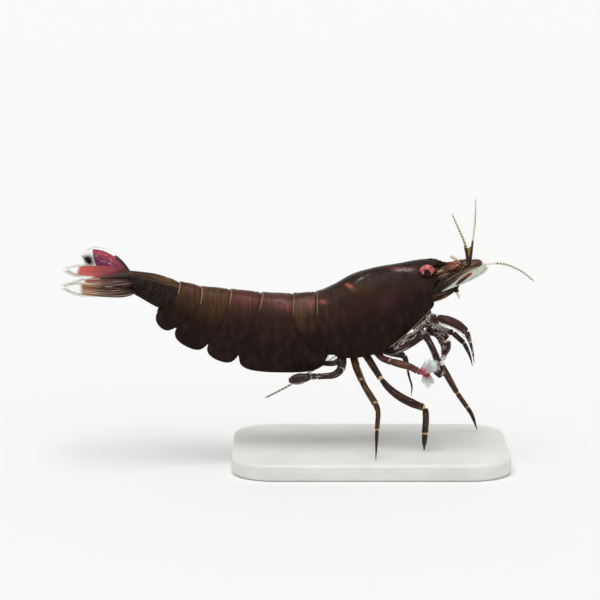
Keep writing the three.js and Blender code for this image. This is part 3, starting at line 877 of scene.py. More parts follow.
@dataclass
class BodyPlates:
    """The six abdomen plates, each overlapping the next, with their side flaps."""

    arch_end: float = 0.74 * math.pi
    arch_power: float = 0.85
    wall: float = 0.34  # how soon the inside of a flap turns upwards: smaller is thinner
    around: int = 176
    rows: int = 72
    tuck: float = 0.09  # the share of a plate that slides under the one before it
    lip: float = 0.05  # how far a plate's rear edge stands out
    # Each seam: top, bend and low as x and z, half the width there, and the height of the belly.
    seams: Table = (
        (1.2, 10.95, 0.95, 8.6, 2.2, 6.88, 2.12, 0.95),
        (-0.45, 10.82, -0.9, 8.3, 1.9, 6.66, 2.08, 1.3),
        (-2.65, 10.88, -3.1, 8.95, -4.36, 6.7, 1.95, 1.6),
        (-4.88, 11.12, -5, 9, -6.5, 7.5, 1.75, 1.3),
        (-6.97, 11.32, -6.75, 9.6, -8.75, 8.6, 1.5, 0.9),
        (-8.48, 11.66, -8.6, 10.2, -9.87, 9.92, 1.2, 0.35),
        (-12, 12.42, -12.1, 11.7, -11.65, 10.92, 0.78, 0.1),
    )
    # Each plate's colour along the back: partly its own brown and partly painted sheen.
    backs: tuple[Tone, ...] = (
        (90, 65, 58), (68, 48, 44), (58, 36, 33), (64, 44, 33), (42, 30, 23), (30, 24, 23))
    # Each plate: how far its flap hangs, how square the flap is, and how far its back arches up.
    flaps: tuple[Spot, ...] = (
        (0.05, 2, 0.03), (1.27, 3, 0.03), (0.92, 2.4, 0.05),
        (0.92, 2.4, 0.06), (0.88, 2.2, 0.08), (0.05, 2, 0.22))

    def section(self, number: int, t: Array) -> Section:
        """The plate's sections: both seams mixed by t, with the flap dropped square to the margin's chord.

        Args:
            number: the plate's number.
            t: how far back along the plate each section lies.

        Returns:
            The sections.
        """
        front, rear = (np.array(self.seams[number - 1 + k]) for k in range(2))
        drop, square, hump = self.flaps[number - 1]
        chord = unit(rear[4:6] - front[4:6])
        inside = np.clip(t, 0, 1)
        bulge = (1 - np.abs(2 * inside - 1) ** square) ** (1 / square)
        mixed = front + (rear - front) * t[:, None]
        rise = np.stack([np.zeros_like(t), hump * np.sin(np.pi * inside)], -1)
        hang = drop * bulge[:, None] * np.array([-chord[1], chord[0]])
        return Section(mixed[:, 0:2] + rise, mixed[:, 2:4], mixed[:, 4:6] + hang, mixed[:, 6],
                       mixed[:, 7] + drop * bulge)

    def ring(self, section: Section, swell: Array) -> tuple[Array, Array]:
        """Points round each section and how far down the flank they lie.

        The outline runs down the side as sin(phi)^power of the half width, turns in at the margin,
        and returns under the belly as a squared quarter arch.

        Args:
            section: the sections.
            swell: how far each section stands out, in millimetres.

        Returns:
            The grid of points, and the share of the way down at each, which passes 1 under the belly.
        """
        turn = np.linspace(-np.pi, np.pi, self.around, endpoint=False) + np.pi / self.around
        margin = 0.75 * np.pi
        side, angle = np.sign(turn), np.abs(turn)
        phi = np.minimum(angle / margin, 1) * self.arch_end
        down = (1 - np.cos(phi)) / (1 - np.cos(self.arch_end))
        outline = arch_outline(section.top[:, None], section.bend[:, None], section.low[:, None],
                               down[None, :, None])
        half = section.half[:, None] + swell[:, None]
        y_wall = half * np.sin(phi)[None, :] ** self.arch_power
        under = np.clip((angle - margin) / (np.pi - margin), 0, 1)
        inward = np.cos(under * np.pi / 2) ** self.wall
        rise = np.sin(under * np.pi / 2) ** 0.75
        middle = arch_outline(section.top, section.bend, section.low, np.array(0.5))
        below = angle > margin
        x = np.where(below, mix(section.low[:, :1], middle[:, :1], rise), outline[..., 0])
        y = np.where(below, half * math.sin(self.arch_end) ** self.arch_power * inward, y_wall)
        z = np.where(below, section.low[:, 1:] + section.hollow[:, None] * rise, outline[..., 1])
        lift = swell[:, None] * np.where(below, 0, np.cos(phi))[None, :]
        return np.stack([x, side * y, z + lift], -1), np.broadcast_to(down + under, x.shape)

    def build(self) -> None:
        """Makes the six plates."""
        for number in range(1, len(self.seams)):
            finish = ShellFinish(back=self.backs[number - 1])
            if number == len(self.backs):
                finish = replace(finish, flank=(30, 23, 20), belly=(26, 19, 16), lengthwise=True)
            even = np.linspace(-self.tuck, 1, self.rows)
            t = np.concatenate([even[:-1], 1 + 0.03 * np.sin(np.linspace(0, np.pi / 2, 6))])
            section = self.section(number, t)
            inside = ease(0, 0.16, t)
            edge = ease(0.72, 0.99, t)
            closing = np.sqrt(np.clip(1 - ((t - 1) / 0.031) ** 2, 0, 1))
            swell = -0.06 * (1 - inside) + self.lip * edge
            swell = np.where(t > 1, swell - 0.11 * (1 - closing), swell)
            grid, down = self.ring(section, swell)
            shape = Shape()
            shape.add(self.furrow(grid, down, t), **self.marks(down, t, number))
            shape.finish(f"abdomen_plate_{number}", "shell", finish, f"abdomen_{number}")

    @staticmethod
    def furrow(grid: Array, down: Array, t: Array) -> Array:
        """Presses in a shallow line across the plate and along each flap, as on a living animal.

        Args:
            grid: the plate's points.
            down: how far down the flank they lie.
            t: how far back along the plate they lie.

        Returns:
            The points with the lines pressed in.
        """
        flank = (down < 1)[..., None]
        across = bell(t, 0.24, 0.03)[:, None] * ease(0.75, 0.2, down) * 0.022
        rim = bell(down, 0.93, 0.02) * bell(t, 0.5, 0.42)[:, None] * 0.03
        depth = (across + rim)[..., None]
        outward = unit(grid * np.array([0, 1, 0]) + UP * np.cos(np.minimum(down, 1) * 2.2)[..., None])
        return grid - outward * depth * flank

    @staticmethod
    def marks(down: Array, t: Array, number: int) -> dict[str, Array]:
        """Values that the shell finish paints with.

        Args:
            down: how far down the flank the points lie.
            t: how far back along the plate they lie.
            number: the plate's number.

        Returns:
            The values by name.
        """
        reach = (0.3, 0.26, 0.24, 0.34, 0.26, 0.1)[number - 1]
        fade = ease(reach + 0.12, reach - 0.12, down)
        line = bell(t, 0.975, (0.012, 0.011, 0.011, 0.013, 0.017, 0.01)[number - 1])[:, None]
        rim = line * fade
        if number == 3:
            rim = np.maximum(rim, line * ease(1.02, 0.97, down) * 0.55)
        rim *= (0.8, 0.95, 1, 0.95, 0.95, 0)[number - 1]
        if number == 5:
            rim = np.maximum(rim, bell(down, 1, 0.03) * bell(t, 0.84, 0.07)[:, None] * 0.9)
        # A pinkish painted sheen just under the back.
        pink = bell(down, 0.08, 0.09) * bell(t, 0.55, 0.5)[:, None]
        pink *= (0.1, 0.35, 0.6, 0.08, 0.35, 0)[number - 1]
        olive = ease(0.75, 0.1, down) * (0.1, 0, 0.05, 0.5, 0.4, 0.05)[number - 1]
        reach = (0.62, 0.26, 0.4, 0.55, 0.5, 0.22)[number - 1]
        streak = ease(reach, reach * 0.3, down) * (0.4, 0.2, 0.25, 0.3, 0.3, 0.8)[number - 1]
        # The specks and the shine are painted highlights: faint glints on the last plate and a thin shine
        # just under the back.
        speck = 0.03 * ease(0.08, 0.3, down) * (number == 6)
        glow = bell(down, 0.13, 0.06) * bell(t, 0.2, 0.26)[:, None] * (0.3, 0.3, 0, 0, 0, 0)[number - 1]
        shine = bell(down, 0.075, 0.022) * bell(t, 0.5, 0.45)[:, None]
        shine *= (0.1, 0.22, 0.1, 0.06, 0.06, 0.05)[number - 1]
        return {"down": np.minimum(down, 1), "rim": rim, "pink": pink, "olive": olive,
                "streak": streak, "glow": glow, "shine": shine, "speck": speck}


# ---- head shield
@dataclass
class HeadShield:
    """The carapace with its eye sockets and front edge, and the short toothed rostrum."""

    plates: BodyPlates
    back: Table = (
        (1.2, 10.95), (2.47, 11.53), (3.6, 12.18), (5.3, 12.7), (7, 13), (8.8, 13.3), (9.75, 13.28))
    margin: Table = (
        (2.2, 6.88), (2.7, 6.55), (3.6, 6.5), (5.2, 6.75), (6.2, 7.15), (7.4, 8.08), (8.4, 9), (9.2, 9.85))
    half_rear: float = 2.12
    half_bulge: float = 0.32
    half_front: float = 1.42
    hollow_front: float = 0.35
    rows: int = 260
    socket: tuple[float, float] = (0.52, 0.43)  # the socket's reach in x and z
    socket_depth: float = 0.16
    rostrum_line: Table = (
        (8, 0, 13.1), (9, 0, 13.14), (9.86, 0, 12.92), (10.4, 0, 12.84), (11, 0, 12.86),
        (11.5, 0, 12.93), (12, 0, 13))
    rostrum_half: Row = (0.03, 0.15, 0.3, 0.24, 0.18, 0.12, 0.03)
    teeth: int = 9

    def build(self) -> None:
        """Makes the shield and the rostrum."""
        finish = ShellFinish()
        ends = np.linspace(0, np.pi / 2, 6)[1:]
        t = np.concatenate([
            -0.012 * np.sin(ends[::-1]), np.linspace(0, 1, self.rows), 1 + 0.004 * np.sin(ends)])
        inside = np.clip(t, 0, 1)
        top = curve_through(self.back, inside)
        low = curve_through(self.margin, inside)
        seam = np.array(self.plates.seams[0])
        lean = seam[2:4] - (seam[0:2] + seam[4:6]) / 2
        rear = (1 - inside)[:, None]
        shift = np.array([1, 0]) * np.where(t < 0, t * 9, 0)[:, None]
        half = mix(self.half_rear, self.half_front, inside**2) + self.half_bulge * np.sin(np.pi * inside)
        section = Section(top + shift, (top + low) / 2 + lean * rear + shift, low + shift, half,
                          mix(seam[7], self.hollow_front, inside))
        swell = 0.05 * ease(0.05, 0, t)
        swell = np.where(t < 0, swell - 0.12 * (1 - np.sqrt(np.clip(1 - (t / 0.0125) ** 2, 0, 1))), swell)
        grid, down = self.plates.ring(section, swell)
        grid = self.shape_front(grid, down, t)
        grid = self.press_sockets(grid, down)
        shape = Shape()
        shape.add(grid, **self.marks(grid, down, t))
        shape.finish("head_shield", "shell", finish, "carapace")
        self.rostrum().finish("rostrum_blade", "shell", ShellFinish(back=(34, 25, 20)), "rostrum")

    @staticmethod
    def shape_front(grid: Array, down: Array, t: Array) -> Array:
        """Cuts the front edge back at the eye, brings it forward in a spine below, and hollows its mouth.

        Args:
            grid: the shield's points.
            down: how far down the flank they lie.
            t: how far forward they lie.

        Returns:
            The points with the front edge shaped.
        """
        near = ease(0.8, 1, t)[:, None] * (down < 1)
        notch = -0.5 * bell(down, 0.16, 0.09) + 0.16 * bell(down, 0.36, 0.035) - 0.12 * bell(down, 0.62, 0.2)
        grid = grid + (near * notch)[..., None] * np.array([1, 0, 0])
        closing = ease(1, 1.004, t)[:, None]
        middle = np.array([9.2, 0, 11.5])
        return np.where(closing[..., None] > 0, mix(grid, middle, closing[..., None] * 0.12), grid)

    def press_sockets(self, grid: Array, down: Array) -> Array:
        """Presses a pit in each side where the eye sits, with a low rim, and the grooves of the gill cover.

        Args:
            grid: the shield's points.
            down: how far down the flank they lie.

        Returns:
            The points with pits and grooves.
        """
        x, y, z = grid[..., 0], grid[..., 1], grid[..., 2]
        reach = np.hypot((x - EYE[0] - 0.05) / self.socket[0], (z - EYE[2]) / self.socket[1])
        flank = (down > 0.03) & (down < 1)
        pit = self.socket_depth * ease(1.12, 0.85, reach) * flank
        rim = 0.008 * bell(reach, 1.3, 0.16) * flank
        groove = 0.03 * bell(z - (12.35 - 0.42 * (x - 5) ** 2 / 4), 0, 0.07) * ease(4, 5, x)
        groove = groove * ease(7.6, 6.6, x) * flank
        y = y - np.sign(y) * (pit + groove - rim)
        edge = bell(down, 0.985, 0.022) * ease(5.4, 6.6, x) * 0.05
        return np.stack([x, y + np.sign(y) * edge, z], -1)

    @staticmethod
    def marks(grid: Array, down: Array, t: Array) -> dict[str, Array]:
        """Values that the shell finish paints with.

        Args:
            grid: the shield's points.
            down: how far down the flank they lie.
            t: how far forward they lie.

        Returns:
            The values by name.
        """
        x, z = grid[..., 0], grid[..., 2]
        along = t[:, None]
        rear_line = bell(along, 0.006, 0.0038) * ease(0.44, 0.2, down) * 0.7
        rim = ease(0.955, 0.985, down) * ease(1.12, 1.02, down) * ease(5.6, 6.8, x) * 0.85
        rim *= 0.92 + 0.08 * np.sin(x * 9)
        slant = z - np.interp(x, (3.7, 4.4, 5.1, 6.1, 9), (11.7, 12.2, 12.56, 12.82, 12.95))
        glow = bell(x + 0.6 * (z - 11.65), 3.42, 0.26) * bell(z + 0.35 * (x - 3.4), 11.65, 0.14) * 0.85
        glow += bell(x, 1.62, 0.3) * bell(z, 10.5, 0.14) * 0.55
        # The shine and the specks are painted highlights on the upper carapace.
        shine = bell(slant, 0, 0.085) * ease(3.7, 4.4, x) * ease(6.4, 5.7, x) * 0.6
        shine += bell(z, 12.72, 0.09) * ease(6.2, 6.6, x) * ease(8.3, 7.6, x) * 0.3
        speck = bell(z, 12.74, 0.12) * ease(6.3, 6.7, x) * ease(8.3, 7.5, x) * 0.65
        dark = bell(slant, -0.17, 0.07) * ease(5.2, 5.7, x) * ease(6.6, 6.2, x) * 0.8
        dark += bell(np.hypot(x - 7.4, 1.2 * (z - 12.45)), 0, 0.2) * 0.7
        violet = bell(x, 6.1, 0.55) * bell(z, 10.75, 0.55) * 0.85
        # A pinkish painted sheen along the top of the carapace.
        pink = bell(x, 7, 0.8) * bell(z, 12.78, 0.1) * 0.8
        streak = ease(0.5, 0.05, down) * 0.25 * ease(3.5, 1.5, x)
        near = ease(0.02, 0.06, down) * (down < 1)
        return {"down": np.minimum(down, 1), "rim": np.maximum(rear_line, rim), "glow": glow * near,
                "shine": shine * near, "speck": speck * near, "dark": dark * near, "violet": violet,
                "pink": pink, "streak": streak, "olive": bell(x, 4.2, 1) * bell(z, 11.5, 0.5) * 0.5}

    def rostrum(self) -> Shape:
        """A thin upright blade along the middle line, with a row of teeth leaning forwards on top.

        Returns:
            The blade.
        """
        share = np.linspace(0, 1, 120)
        path = curve_through(self.rostrum_line, share)
        half = np.maximum(smooth_spread(self.rostrum_half, share), 0.02)
        grid = ring_sweep(path, UP, half, 0.45 * half + 0.03, 20)
        wave = (share * self.teeth * 1.35) % 1
        tooth = 0.035 * ease(0, 0.8, wave) * ease(1, 0.8, wave)
        tooth = tooth * ease(0.22, 0.34, share) * ease(0.99, 0.86, share)
        above = np.clip((grid[..., 2] - path[:, None, 2]) / half[:, None], 0, 1) ** 2
        grid[..., 2] += tooth[:, None] * above
        grid[..., 0] += tooth[:, None] * above * 0.6
        shape = Shape()
        red = bell(path[:, 0], 10.9, 0.45)[:, None]
        shape.add(grid, down=0.05 + 0.25 * (1 - above), streak=0.15, pink=red * 0.4, glow=red * 0.5)
        return shape


# ---- eyes
@dataclass
class Eyes:
    """Both eyes and their short stalks."""

    radii: Spot = (0.54, 0.45, 0.46)
    stalk: Table = ((9.75, 0.35, 12.5), (9.4, 0.62, 12.55), (9.05, 0.95, 12.64))
    stalk_half: Row = (0.2, 0.27, 0.34)

    def build(self) -> None:
        """Makes each eye and stalk."""
        for side in Side:
            self.ball(side).finish(f"eye_ball_{side.word}", "eye", EyeFinish(), f"eye_{side.word}")
            share = np.linspace(0, 1, 24)
            path, half = side.point(curve_through(self.stalk, share)), spread(self.stalk_half, share)
            shape = Shape()
            shape.add(ring_sweep(path, UP, half, half, 28), warm=1)
            shape.finish(f"eye_stalk_{side.word}", "shell", PEDUNCLE, f"eyestalk_{side.word}")

    def ball(self, side: Side) -> Shape:
        """A ball squeezed to the eye's radii, with its poles fore and aft.

        Args:
            side: the side of the head.

        Returns:
            The eye, with its dark middle and its foot painted on.
        """
        grid = np.roll(globe(48, 64, 0.04), 1, axis=-1)
        x, y, z = np.moveaxis(grid, -1, 0)
        spot = ease(0.64, 0.44, np.hypot(x * 1.15, (z + 0.26) * 0.85)) * (y * side.value > 0)
        foot = ease(-0.04, 0.1, np.abs(x) - (0.92 + z)) * (z < 0)
        shape = Shape()
        shape.add(grid * self.radii + side.point(EYE), dark=spot, skin=foot)
        return shape


# ---- blades
@dataclass(frozen=True)
class Blade:
    """A thin leaf along a line: a flat ellipse section, arched across, ribbed and fringed with bristles."""

    line: Table
    half: Row
    wide: Spot
    thick: float = 0.13
    root_thick: float = 0.1
    arch: float = 0.06
    spoon: float = 0.0
    rib: float = 0.05
    ripple: float = 0.012
    tip_round: float = 0.16
    fringe: float = 0.42
    fringe_from: float = 0.6
    bristles: int = 150
    fringe_sides: tuple[int, ...] = (1, -1)

    def lay(self, side: Side, shape: Shape, hairs: Shape, rng: Rng, **marks: object) -> None:
        """Adds the leaf, and its fringe to a mesh of bristles.

        The leaf is centre + wide*w*cos + deep*d*sin, lifted by arch*(1 - cos^2) and by a rib down its middle.

        Args:
            side: the side of the body.
            shape: the mesh that the leaf joins.
            hairs: the mesh that the fringe joins.
            rng: the source of scatter.
            marks: values to paint, or functions of (along, across, face) that give them; face is
                above 0 on the side that looks towards the body's middle.
        """
        share = end_spacing(64)
        path = side.point(curve_through(self.line, share))
        half = spread(self.half, share) * 0.35 + smooth_spread(self.half, share) * 0.65
        half = np.maximum(half * rounded_ends(share, 0.04, self.tip_round), 0.015)
        wide = side.point(self.wide)
        columns = 72
        deep = mix(self.root_thick, self.thick, ease(0, 0.6, share)) / 2
        grid = ring_sweep(path, wide, half, np.minimum(deep, half * 0.75), columns, 0.9)
        _, across, through = rails(path, wide)
        turn = circle(columns)
        offset = np.sign(np.cos(turn)) * np.abs(np.cos(turn)) ** 0.9
        front = np.sign(np.sin(turn))
        hollow = (self.arch + self.spoon * ease(0.5, 1, share))[:, None] * (1 - offset**2)
        ridge = self.rib * (bell(offset, 0, 0.09) + 0.5 * bell(offset, 0.55, 0.05)) * front
        waves = self.ripple * np.sin(offset * 26) * front
        lift = hollow + (ridge + waves) * (1 - share)[:, None] ** 0.5
        grid = grid + through[:, None] * lift[..., None] * side.value
        face = (front * side.value)[None, :]
        painted = {name: make(share[:, None], offset[None, :], face) if callable(make) else make
                   for name, make in marks.items()}
        shape.add(grid, along=share[:, None], across=0.5 + 0.5 * offset[None, :], **painted)
        self.edge(hairs, path, across, half, share, rng)

    def make(self, node: str, slot: str, finish: BladeFinish, rng: Rng, **marks: object) -> None:
        """Makes the leaf and its fringe as two pieces that stand for a node.

        Args:
            node: the CAD node.
            slot: the record's material slot.
            finish: the leaf's material.
            rng: the source of scatter.
            marks: what the leaf is painted with, as in lay.
        """
        leaf, hairs = Shape(), Tuft()
        self.lay(Side.of(node), leaf, hairs, rng, **marks)
        leaf.finish(node + "_leaf", slot, finish, node)
        hairs.finish(node + "_fringe", slot, BristleFinish())

    def edge(self, hairs: Shape, path: Array, across: Array, half: Array, share: Array, rng: Rng) -> None:
        """Sets bristles along the rim, leaning outwards and towards the tip.

        Args:
            hairs: the mesh that they join.
            path: the blade's middle line.
            across: the direction of its width along the line.
            half: half its width along the line.
            share: the stations' shares of the length.
            rng: the source of scatter.
        """
        maker = Bristles(rng)
        at = np.linspace(self.fringe_from, 0.995, self.bristles)
        middle, aside, along = read_off(at, share, path, across, unit(np.gradient(path, axis=0)))
        width = np.interp(at, share, half)[:, None]
        fan = ease(1 - self.tip_round, 1, at)[:, None]
        growth = self.fringe * ease(self.fringe_from - 0.08, self.fringe_from + 0.25, at) + 0.03
        for sign in self.fringe_sides:
            out = aside * sign
            lean = out * (0.75 - 0.45 * fan) + along * (0.65 + 0.6 * fan)
            uv = np.stack([np.full(len(at), 0.25 + 0.5 * (sign > 0)), at * 0.95], -1)
            maker.grow(hairs, middle + out * (width * 0.96), lean, growth, 0.014, along * 0.3, uv, 0.06)


# ---- limbs
@dataclass(frozen=True)
class Limb:
    """A jointed limb: its points from the body outwards as x, distance from the middle, z, and radius.

    joints are the numbers of the points where two links meet. Between them each link is one curve.
    """

    node: str
    points: Table
    joints: tuple[int, ...]
    finish: LimbFinish
    hairs: float = 0.13  # how long its hairs are
    pale: float = 0.75  # how pale its joints are
    band: float = 0.13  # how far the pale skin reaches from a joint
    pale_tip: float = 0.0

    def build(self, slot: str, rng: Rng) -> None:
        """Makes the limb's links as one piece, with a few fine hairs on it.

        Args:
            slot: the record's material slot.
            rng: the source of scatter.
        """
        shape, hairs = Shape(), Tuft()
        stops = (0, *self.joints, len(self.points) - 1)
        for number, (start, end) in enumerate(zip(stops[:-1], stops[1:])):
            self.link(shape, hairs, rng, start, end, number, number == len(stops) - 2)
        shape.finish(self.node + "_shell", slot, self.finish, self.node)
        hairs.finish(self.node + "_hairs", slot, BristleFinish())

    def link(self, shape: Shape, hairs: Shape, rng: Rng, start: int, end: int, number: int,
             last: bool) -> None:
        """Adds one link: a tube that is narrow where it starts, swells, and flares into a rounded socket.

        Args:
            shape: the mesh that it joins.
            hairs: the mesh of hairs.
            rng: the source of scatter.
            start: its first point.
            end: its last point.
            number: which link it is.
            last: whether it is the limb's tip.
        """
        knots = np.array(self.points[start:end + 1])
        share = end_spacing(44)
        read = curve_through(knots, share)
        path = Side.of(self.node).point(read)
        radius = spread(knots[:, 3], share)
        waist = 1 - 0.12 * bell(share, 0.05, 0.05) * (number > 0)
        flare = 1 + 0.07 * bell(share, 0.94, 0.05) * (not last)
        ends = rounded_ends(share, 0.03, 0.9 if last and knots[-1, 3] < POINTED else 0.045)
        radius = np.maximum(0.93 * radius * waist * flare * (ends ** (0.7 if last else 1)), 0.012)
        sides = 22
        grid = ring_sweep(path, SIDEWAYS, radius, radius, sides)
        turn = circle(sides)
        length = length_of(path)
        band = min(0.12, self.band / length)
        pale = self.pale * (ease(1 - band, 1 - 0.3 * band, share) * (not last)
                            + ease(0.5 * band, 0.1 * band, share) * (number > 0))
        pale = pale[:, None] * (0.75 + 0.25 * np.sin(turn - 0.6))[None, :]
        tip = (ease(0.8, 1, share) * self.pale_tip if last else 0 * share)[:, None]
        # An amber streak along one side of each link: partly the limb's own amber, partly a painted
        # highlight.
        streak = bell(np.sin(turn - 0.5), 0.55, 0.35)[None, :] * (np.cos(turn - 0.5) < 0)
        warm = (0.12 + streak) * (ease(0.05, 0.3, share) * ease(1.15, 0.85, share))[:, None]
        warm *= 0.15 if last else 1
        shape.add(grid, number * 0.7 + share, pale=np.maximum(pale, tip), warm=np.minimum(warm, 1))
        self.bristle(hairs, rng, path, radius)

    def bristle(self, hairs: Shape, rng: Rng, path: Array, radius: Array) -> None:
        """Scatters short hairs over a link, leaning towards its tip.

        Args:
            hairs: the mesh that they join.
            rng: the source of scatter.
            path: the link's middle line.
            radius: its radii along the line.
        """
        count = max(6, int(length_of(path) * 9))
        at = rng.uniform(0.05, 0.98, count) * (len(path) - 1)
        turn = rng.uniform(0, 2 * np.pi, count)
        rows = np.arange(len(path))
        middle, along, across, through = read_off(at, rows, path, *rails(path, SIDEWAYS))
        size = np.interp(at, rows, radius)[:, None]
        out = across * np.cos(turn)[:, None] + through * np.sin(turn)[:, None]
        uv = np.stack([turn / (2 * np.pi) * 0.98, at / len(path)], -1)
        Bristles(rng).grow(hairs, middle + out * size * 0.92, out * 0.7 + along * 0.7, self.hairs, 0.009,
                           along * 0.5, uv)


AMBER = LimbFinish((30, 20, 15), (126, 78, 36), (214, 168, 112), (110, 76, 54), 0.85)
TAWNY = LimbFinish((26, 19, 16), (100, 66, 38), (222, 184, 130), (150, 116, 80), 0.65)
BROWN = LimbFinish((36, 24, 20), (84, 52, 36), (228, 206, 180), (108, 82, 70), 0.6)
DARK = LimbFinish((30, 20, 18), (72, 42, 34), (222, 204, 190), (96, 70, 66), 0.5)
PINKISH = LimbFinish((62, 38, 32), (140, 88, 70), (226, 200, 184), (176, 134, 118), 0.75)
PURPLE = LimbFinish((42, 26, 25), (114, 66, 52), (236, 222, 212), (186, 150, 134), 0.7)
PEDUNCLE = LimbFinish((36, 25, 21), (92, 60, 44), (160, 130, 104), (200, 184, 156), 0.9,
                      gleam=0.8, gleam_from=0.55, fine=20, gloss=0.1)
STEM = LimbFinish((36, 26, 23), (72, 50, 41), (226, 224, 204), (132, 102, 78), 0.8,
                  gleam_from=0.55, fine=18, gloss=0.06)
STREAKED = LimbFinish((32, 21, 20), (88, 54, 48), (208, 190, 176), (236, 224, 214), 0.7,
                      gleam=0.9, gleam_from=0.58)
GREENISH = LimbFinish((40, 30, 27), (84, 66, 56), (206, 202, 190), (196, 192, 182), 0.6,
                      gleam=0.75, gleam_from=0.57)


@dataclass
class Legs:
    """The walking legs, the claw legs with their brushes, and the jaw feet."""

    walking: tuple[Limb, ...] = (
        Limb("walking_leg_3_right", (
            (4.59, 0.95, 6.72, 0.3), (4.94, 1.2, 6.2, 0.27), (5.71, 1.7, 5.03, 0.22),
            (6.25, 1.88, 4.42, 0.27), (7, 2.05, 3.85, 0.32), (7.95, 2.25, 3.38, 0.33),
            (8.8, 2.4, 3.08, 0.24), (8.85, 2.5, 2.7, 0.25), (8.8, 2.5, 1.25, 0.24),
            (8.78, 2.52, 0.9, 0.2), (8.75, 2.55, 0, 0.05)),
            (2, 6, 8), TAWNY, pale=0.65, band=0.26, pale_tip=0.7, hairs=0.16),
        Limb("walking_leg_4_right", (
            (3.72, 0.95, 6.68, 0.27), (3.88, 1.4, 6.05, 0.26), (4.28, 2.8, 5.11, 0.19),
            (4.8, 3.8, 4.45, 0.25), (5.26, 4.7, 3.86, 0.25), (5.42, 4.95, 3.42, 0.18),
            (5.39, 5.15, 2.6, 0.19), (5.35, 5.3, 2.14, 0.16), (5.31, 5.4, 1, 0.11), (5.27, 5.5, 0, 0.045)),
            (2, 4, 7), AMBER, pale=0.6, hairs=0.15),
        Limb("walking_leg_5_right", (
            (3, 0.95, 6.65, 0.3), (2.96, 1.3, 6.1, 0.36), (2.89, 1.6, 5.65, 0.32), (2.39, 2.1, 5.4, 0.27),
            (1.7, 2.3, 5.35, 0.24), (1.19, 2.4, 5.35, 0.22), (0.77, 2.5, 5.37, 0.24), (0.2, 2.5, 5.25, 0.33),
            (-0.28, 2.45, 5.14, 0.43), (-0.6, 2.4, 5.08, 0.38), (-0.8, 2.4, 5.04, 0.16)),
            (2, 5, 6), GREENISH, pale=0.55, hairs=0.14),
        Limb("walking_leg_3_left", (
            (4.59, 0.95, 6.72, 0.27), (5.6, 1.95, 6.3, 0.26), (7.54, 2.6, 7.1, 0.25), (9.1, 3, 7.23, 0.25),
            (9.88, 3.2, 5.57, 0.25), (10.2, 3.3, 5, 0.27), (10.55, 3.4, 4.39, 0.26), (10.95, 3.6, 3.65, 0.24),
            (11.38, 3.8, 2.87, 0.19), (12.12, 4, 1.79, 0.18), (12.4, 4.05, 1.35, 0.15), (12.9, 4.2, 0, 0.05)),
            (3, 4, 8, 9), AMBER, hairs=0.14),
        Limb("walking_leg_4_left", (
            (3.72, 0.95, 6.68, 0.27), (4.07, 1.3, 5.36, 0.22), (4.6, 2.3, 3.85, 0.21),
            (5.39, 3.4, 2.29, 0.17), (5.62, 3.6, 1.73, 0.15), (5.59, 3.8, 0.95, 0.12),
            (5.56, 3.9, 0, 0.045)), (1, 3, 4), BROWN),
        Limb("walking_leg_5_left", (
            (3, 0.95, 6.65, 0.27), (2.85, 1.4, 5.75, 0.26), (2.37, 2, 5.42, 0.22), (1.29, 2.45, 5.36, 0.19),
            (0.43, 2.5, 5.36, 0.17), (-0.43, 2.45, 5.28, 0.06)), (1, 3, 4), BROWN),
    )
    clawed: tuple[Limb, ...] = (
        Limb("claw_leg_1_right", (
            (6.18, 0.95, 6.86, 0.32), (6.97, 1.6, 7.2, 0.36), (7.8, 1.95, 7.75, 0.4), (8.7, 2.2, 8.42, 0.36),
            (8.82, 2.2, 8.2, 0.25), (9.2, 2.2, 7.56, 0.24), (9.5, 2.2, 6.85, 0.26), (9.66, 2.2, 6.3, 0.25),
            (9.8, 2.15, 6.05, 0.36), (9.82, 2.1, 5.7, 0.44), (9.55, 2.1, 5.38, 0.36)),
            (3, 7), STREAKED, pale=0.45, hairs=0.12),
        Limb("claw_leg_2_right", (
            (5.41, 0.95, 6.8, 0.28), (5.79, 1.3, 6.46, 0.25), (6.41, 1.8, 6.3, 0.27), (7.1, 2.1, 6.16, 0.29),
            (7.73, 2.3, 6.01, 0.27), (8.3, 2.45, 5.74, 0.24), (8.5, 2.5, 5.67, 0.22), (8.9, 2.7, 5.95, 0.25),
            (9.25, 2.8, 6.3, 0.2)), (2, 5, 6), PINKISH, pale=0.5, hairs=0.12),
        Limb("claw_leg_1_left", (
            (6.24, 0.95, 6.86, 0.28), (7.49, 1.1, 7.37, 0.27), (8.92, 1.3, 7.9, 0.28), (9.86, 1.5, 7.73, 0.4),
            (10.36, 1.5, 7.15, 0.46), (10.42, 1.5, 6.6, 0.38), (10.25, 1.5, 6.1, 0.2)),
            (2, 4), PURPLE),
        Limb("claw_leg_2_left", (
            (5.41, 0.95, 6.75, 0.27), (6.4, 1.25, 6.35, 0.26), (7.45, 1.9, 6, 0.24), (7.62, 1.95, 5.5, 0.2),
            (7.72, 2, 4.95, 0.1), (7.82, 2, 4.49, 0.08), (8.04, 2, 3.61, 0.08), (7.98, 2, 3.03, 0.04)),
            (2, 4), BROWN, hairs=0.1),
    )
    jaw_feet: tuple[Limb, ...] = (
        Limb("maxilliped_right", (
            (8.97, 0.75, 9, 0.28), (9.3, 0.85, 9.2, 0.3), (9.66, 0.9, 9.28, 0.27), (10.57, 1.1, 9.06, 0.35),
            (11.2, 1.15, 8.76, 0.34), (11.74, 1.2, 8.3, 0.26), (11.99, 1.2, 7.59, 0.14),
            (12.2, 1.2, 6.8, 0.1), (12.29, 1.2, 6.08, 0.05)), (2, 5), PURPLE, pale=0.35, hairs=0.16),
        Limb("maxilliped_left", (
            (9, 0.7, 8.5, 0.27), (9.96, 0.8, 8.15, 0.24), (10.9, 0.9, 7.84, 0.22), (11.69, 0.9, 7.11, 0.19),
            (12.12, 0.9, 6.17, 0.12), (12.31, 0.9, 5.44, 0.05)), (2, 3), DARK, pale=0.45, hairs=0.16),
    )

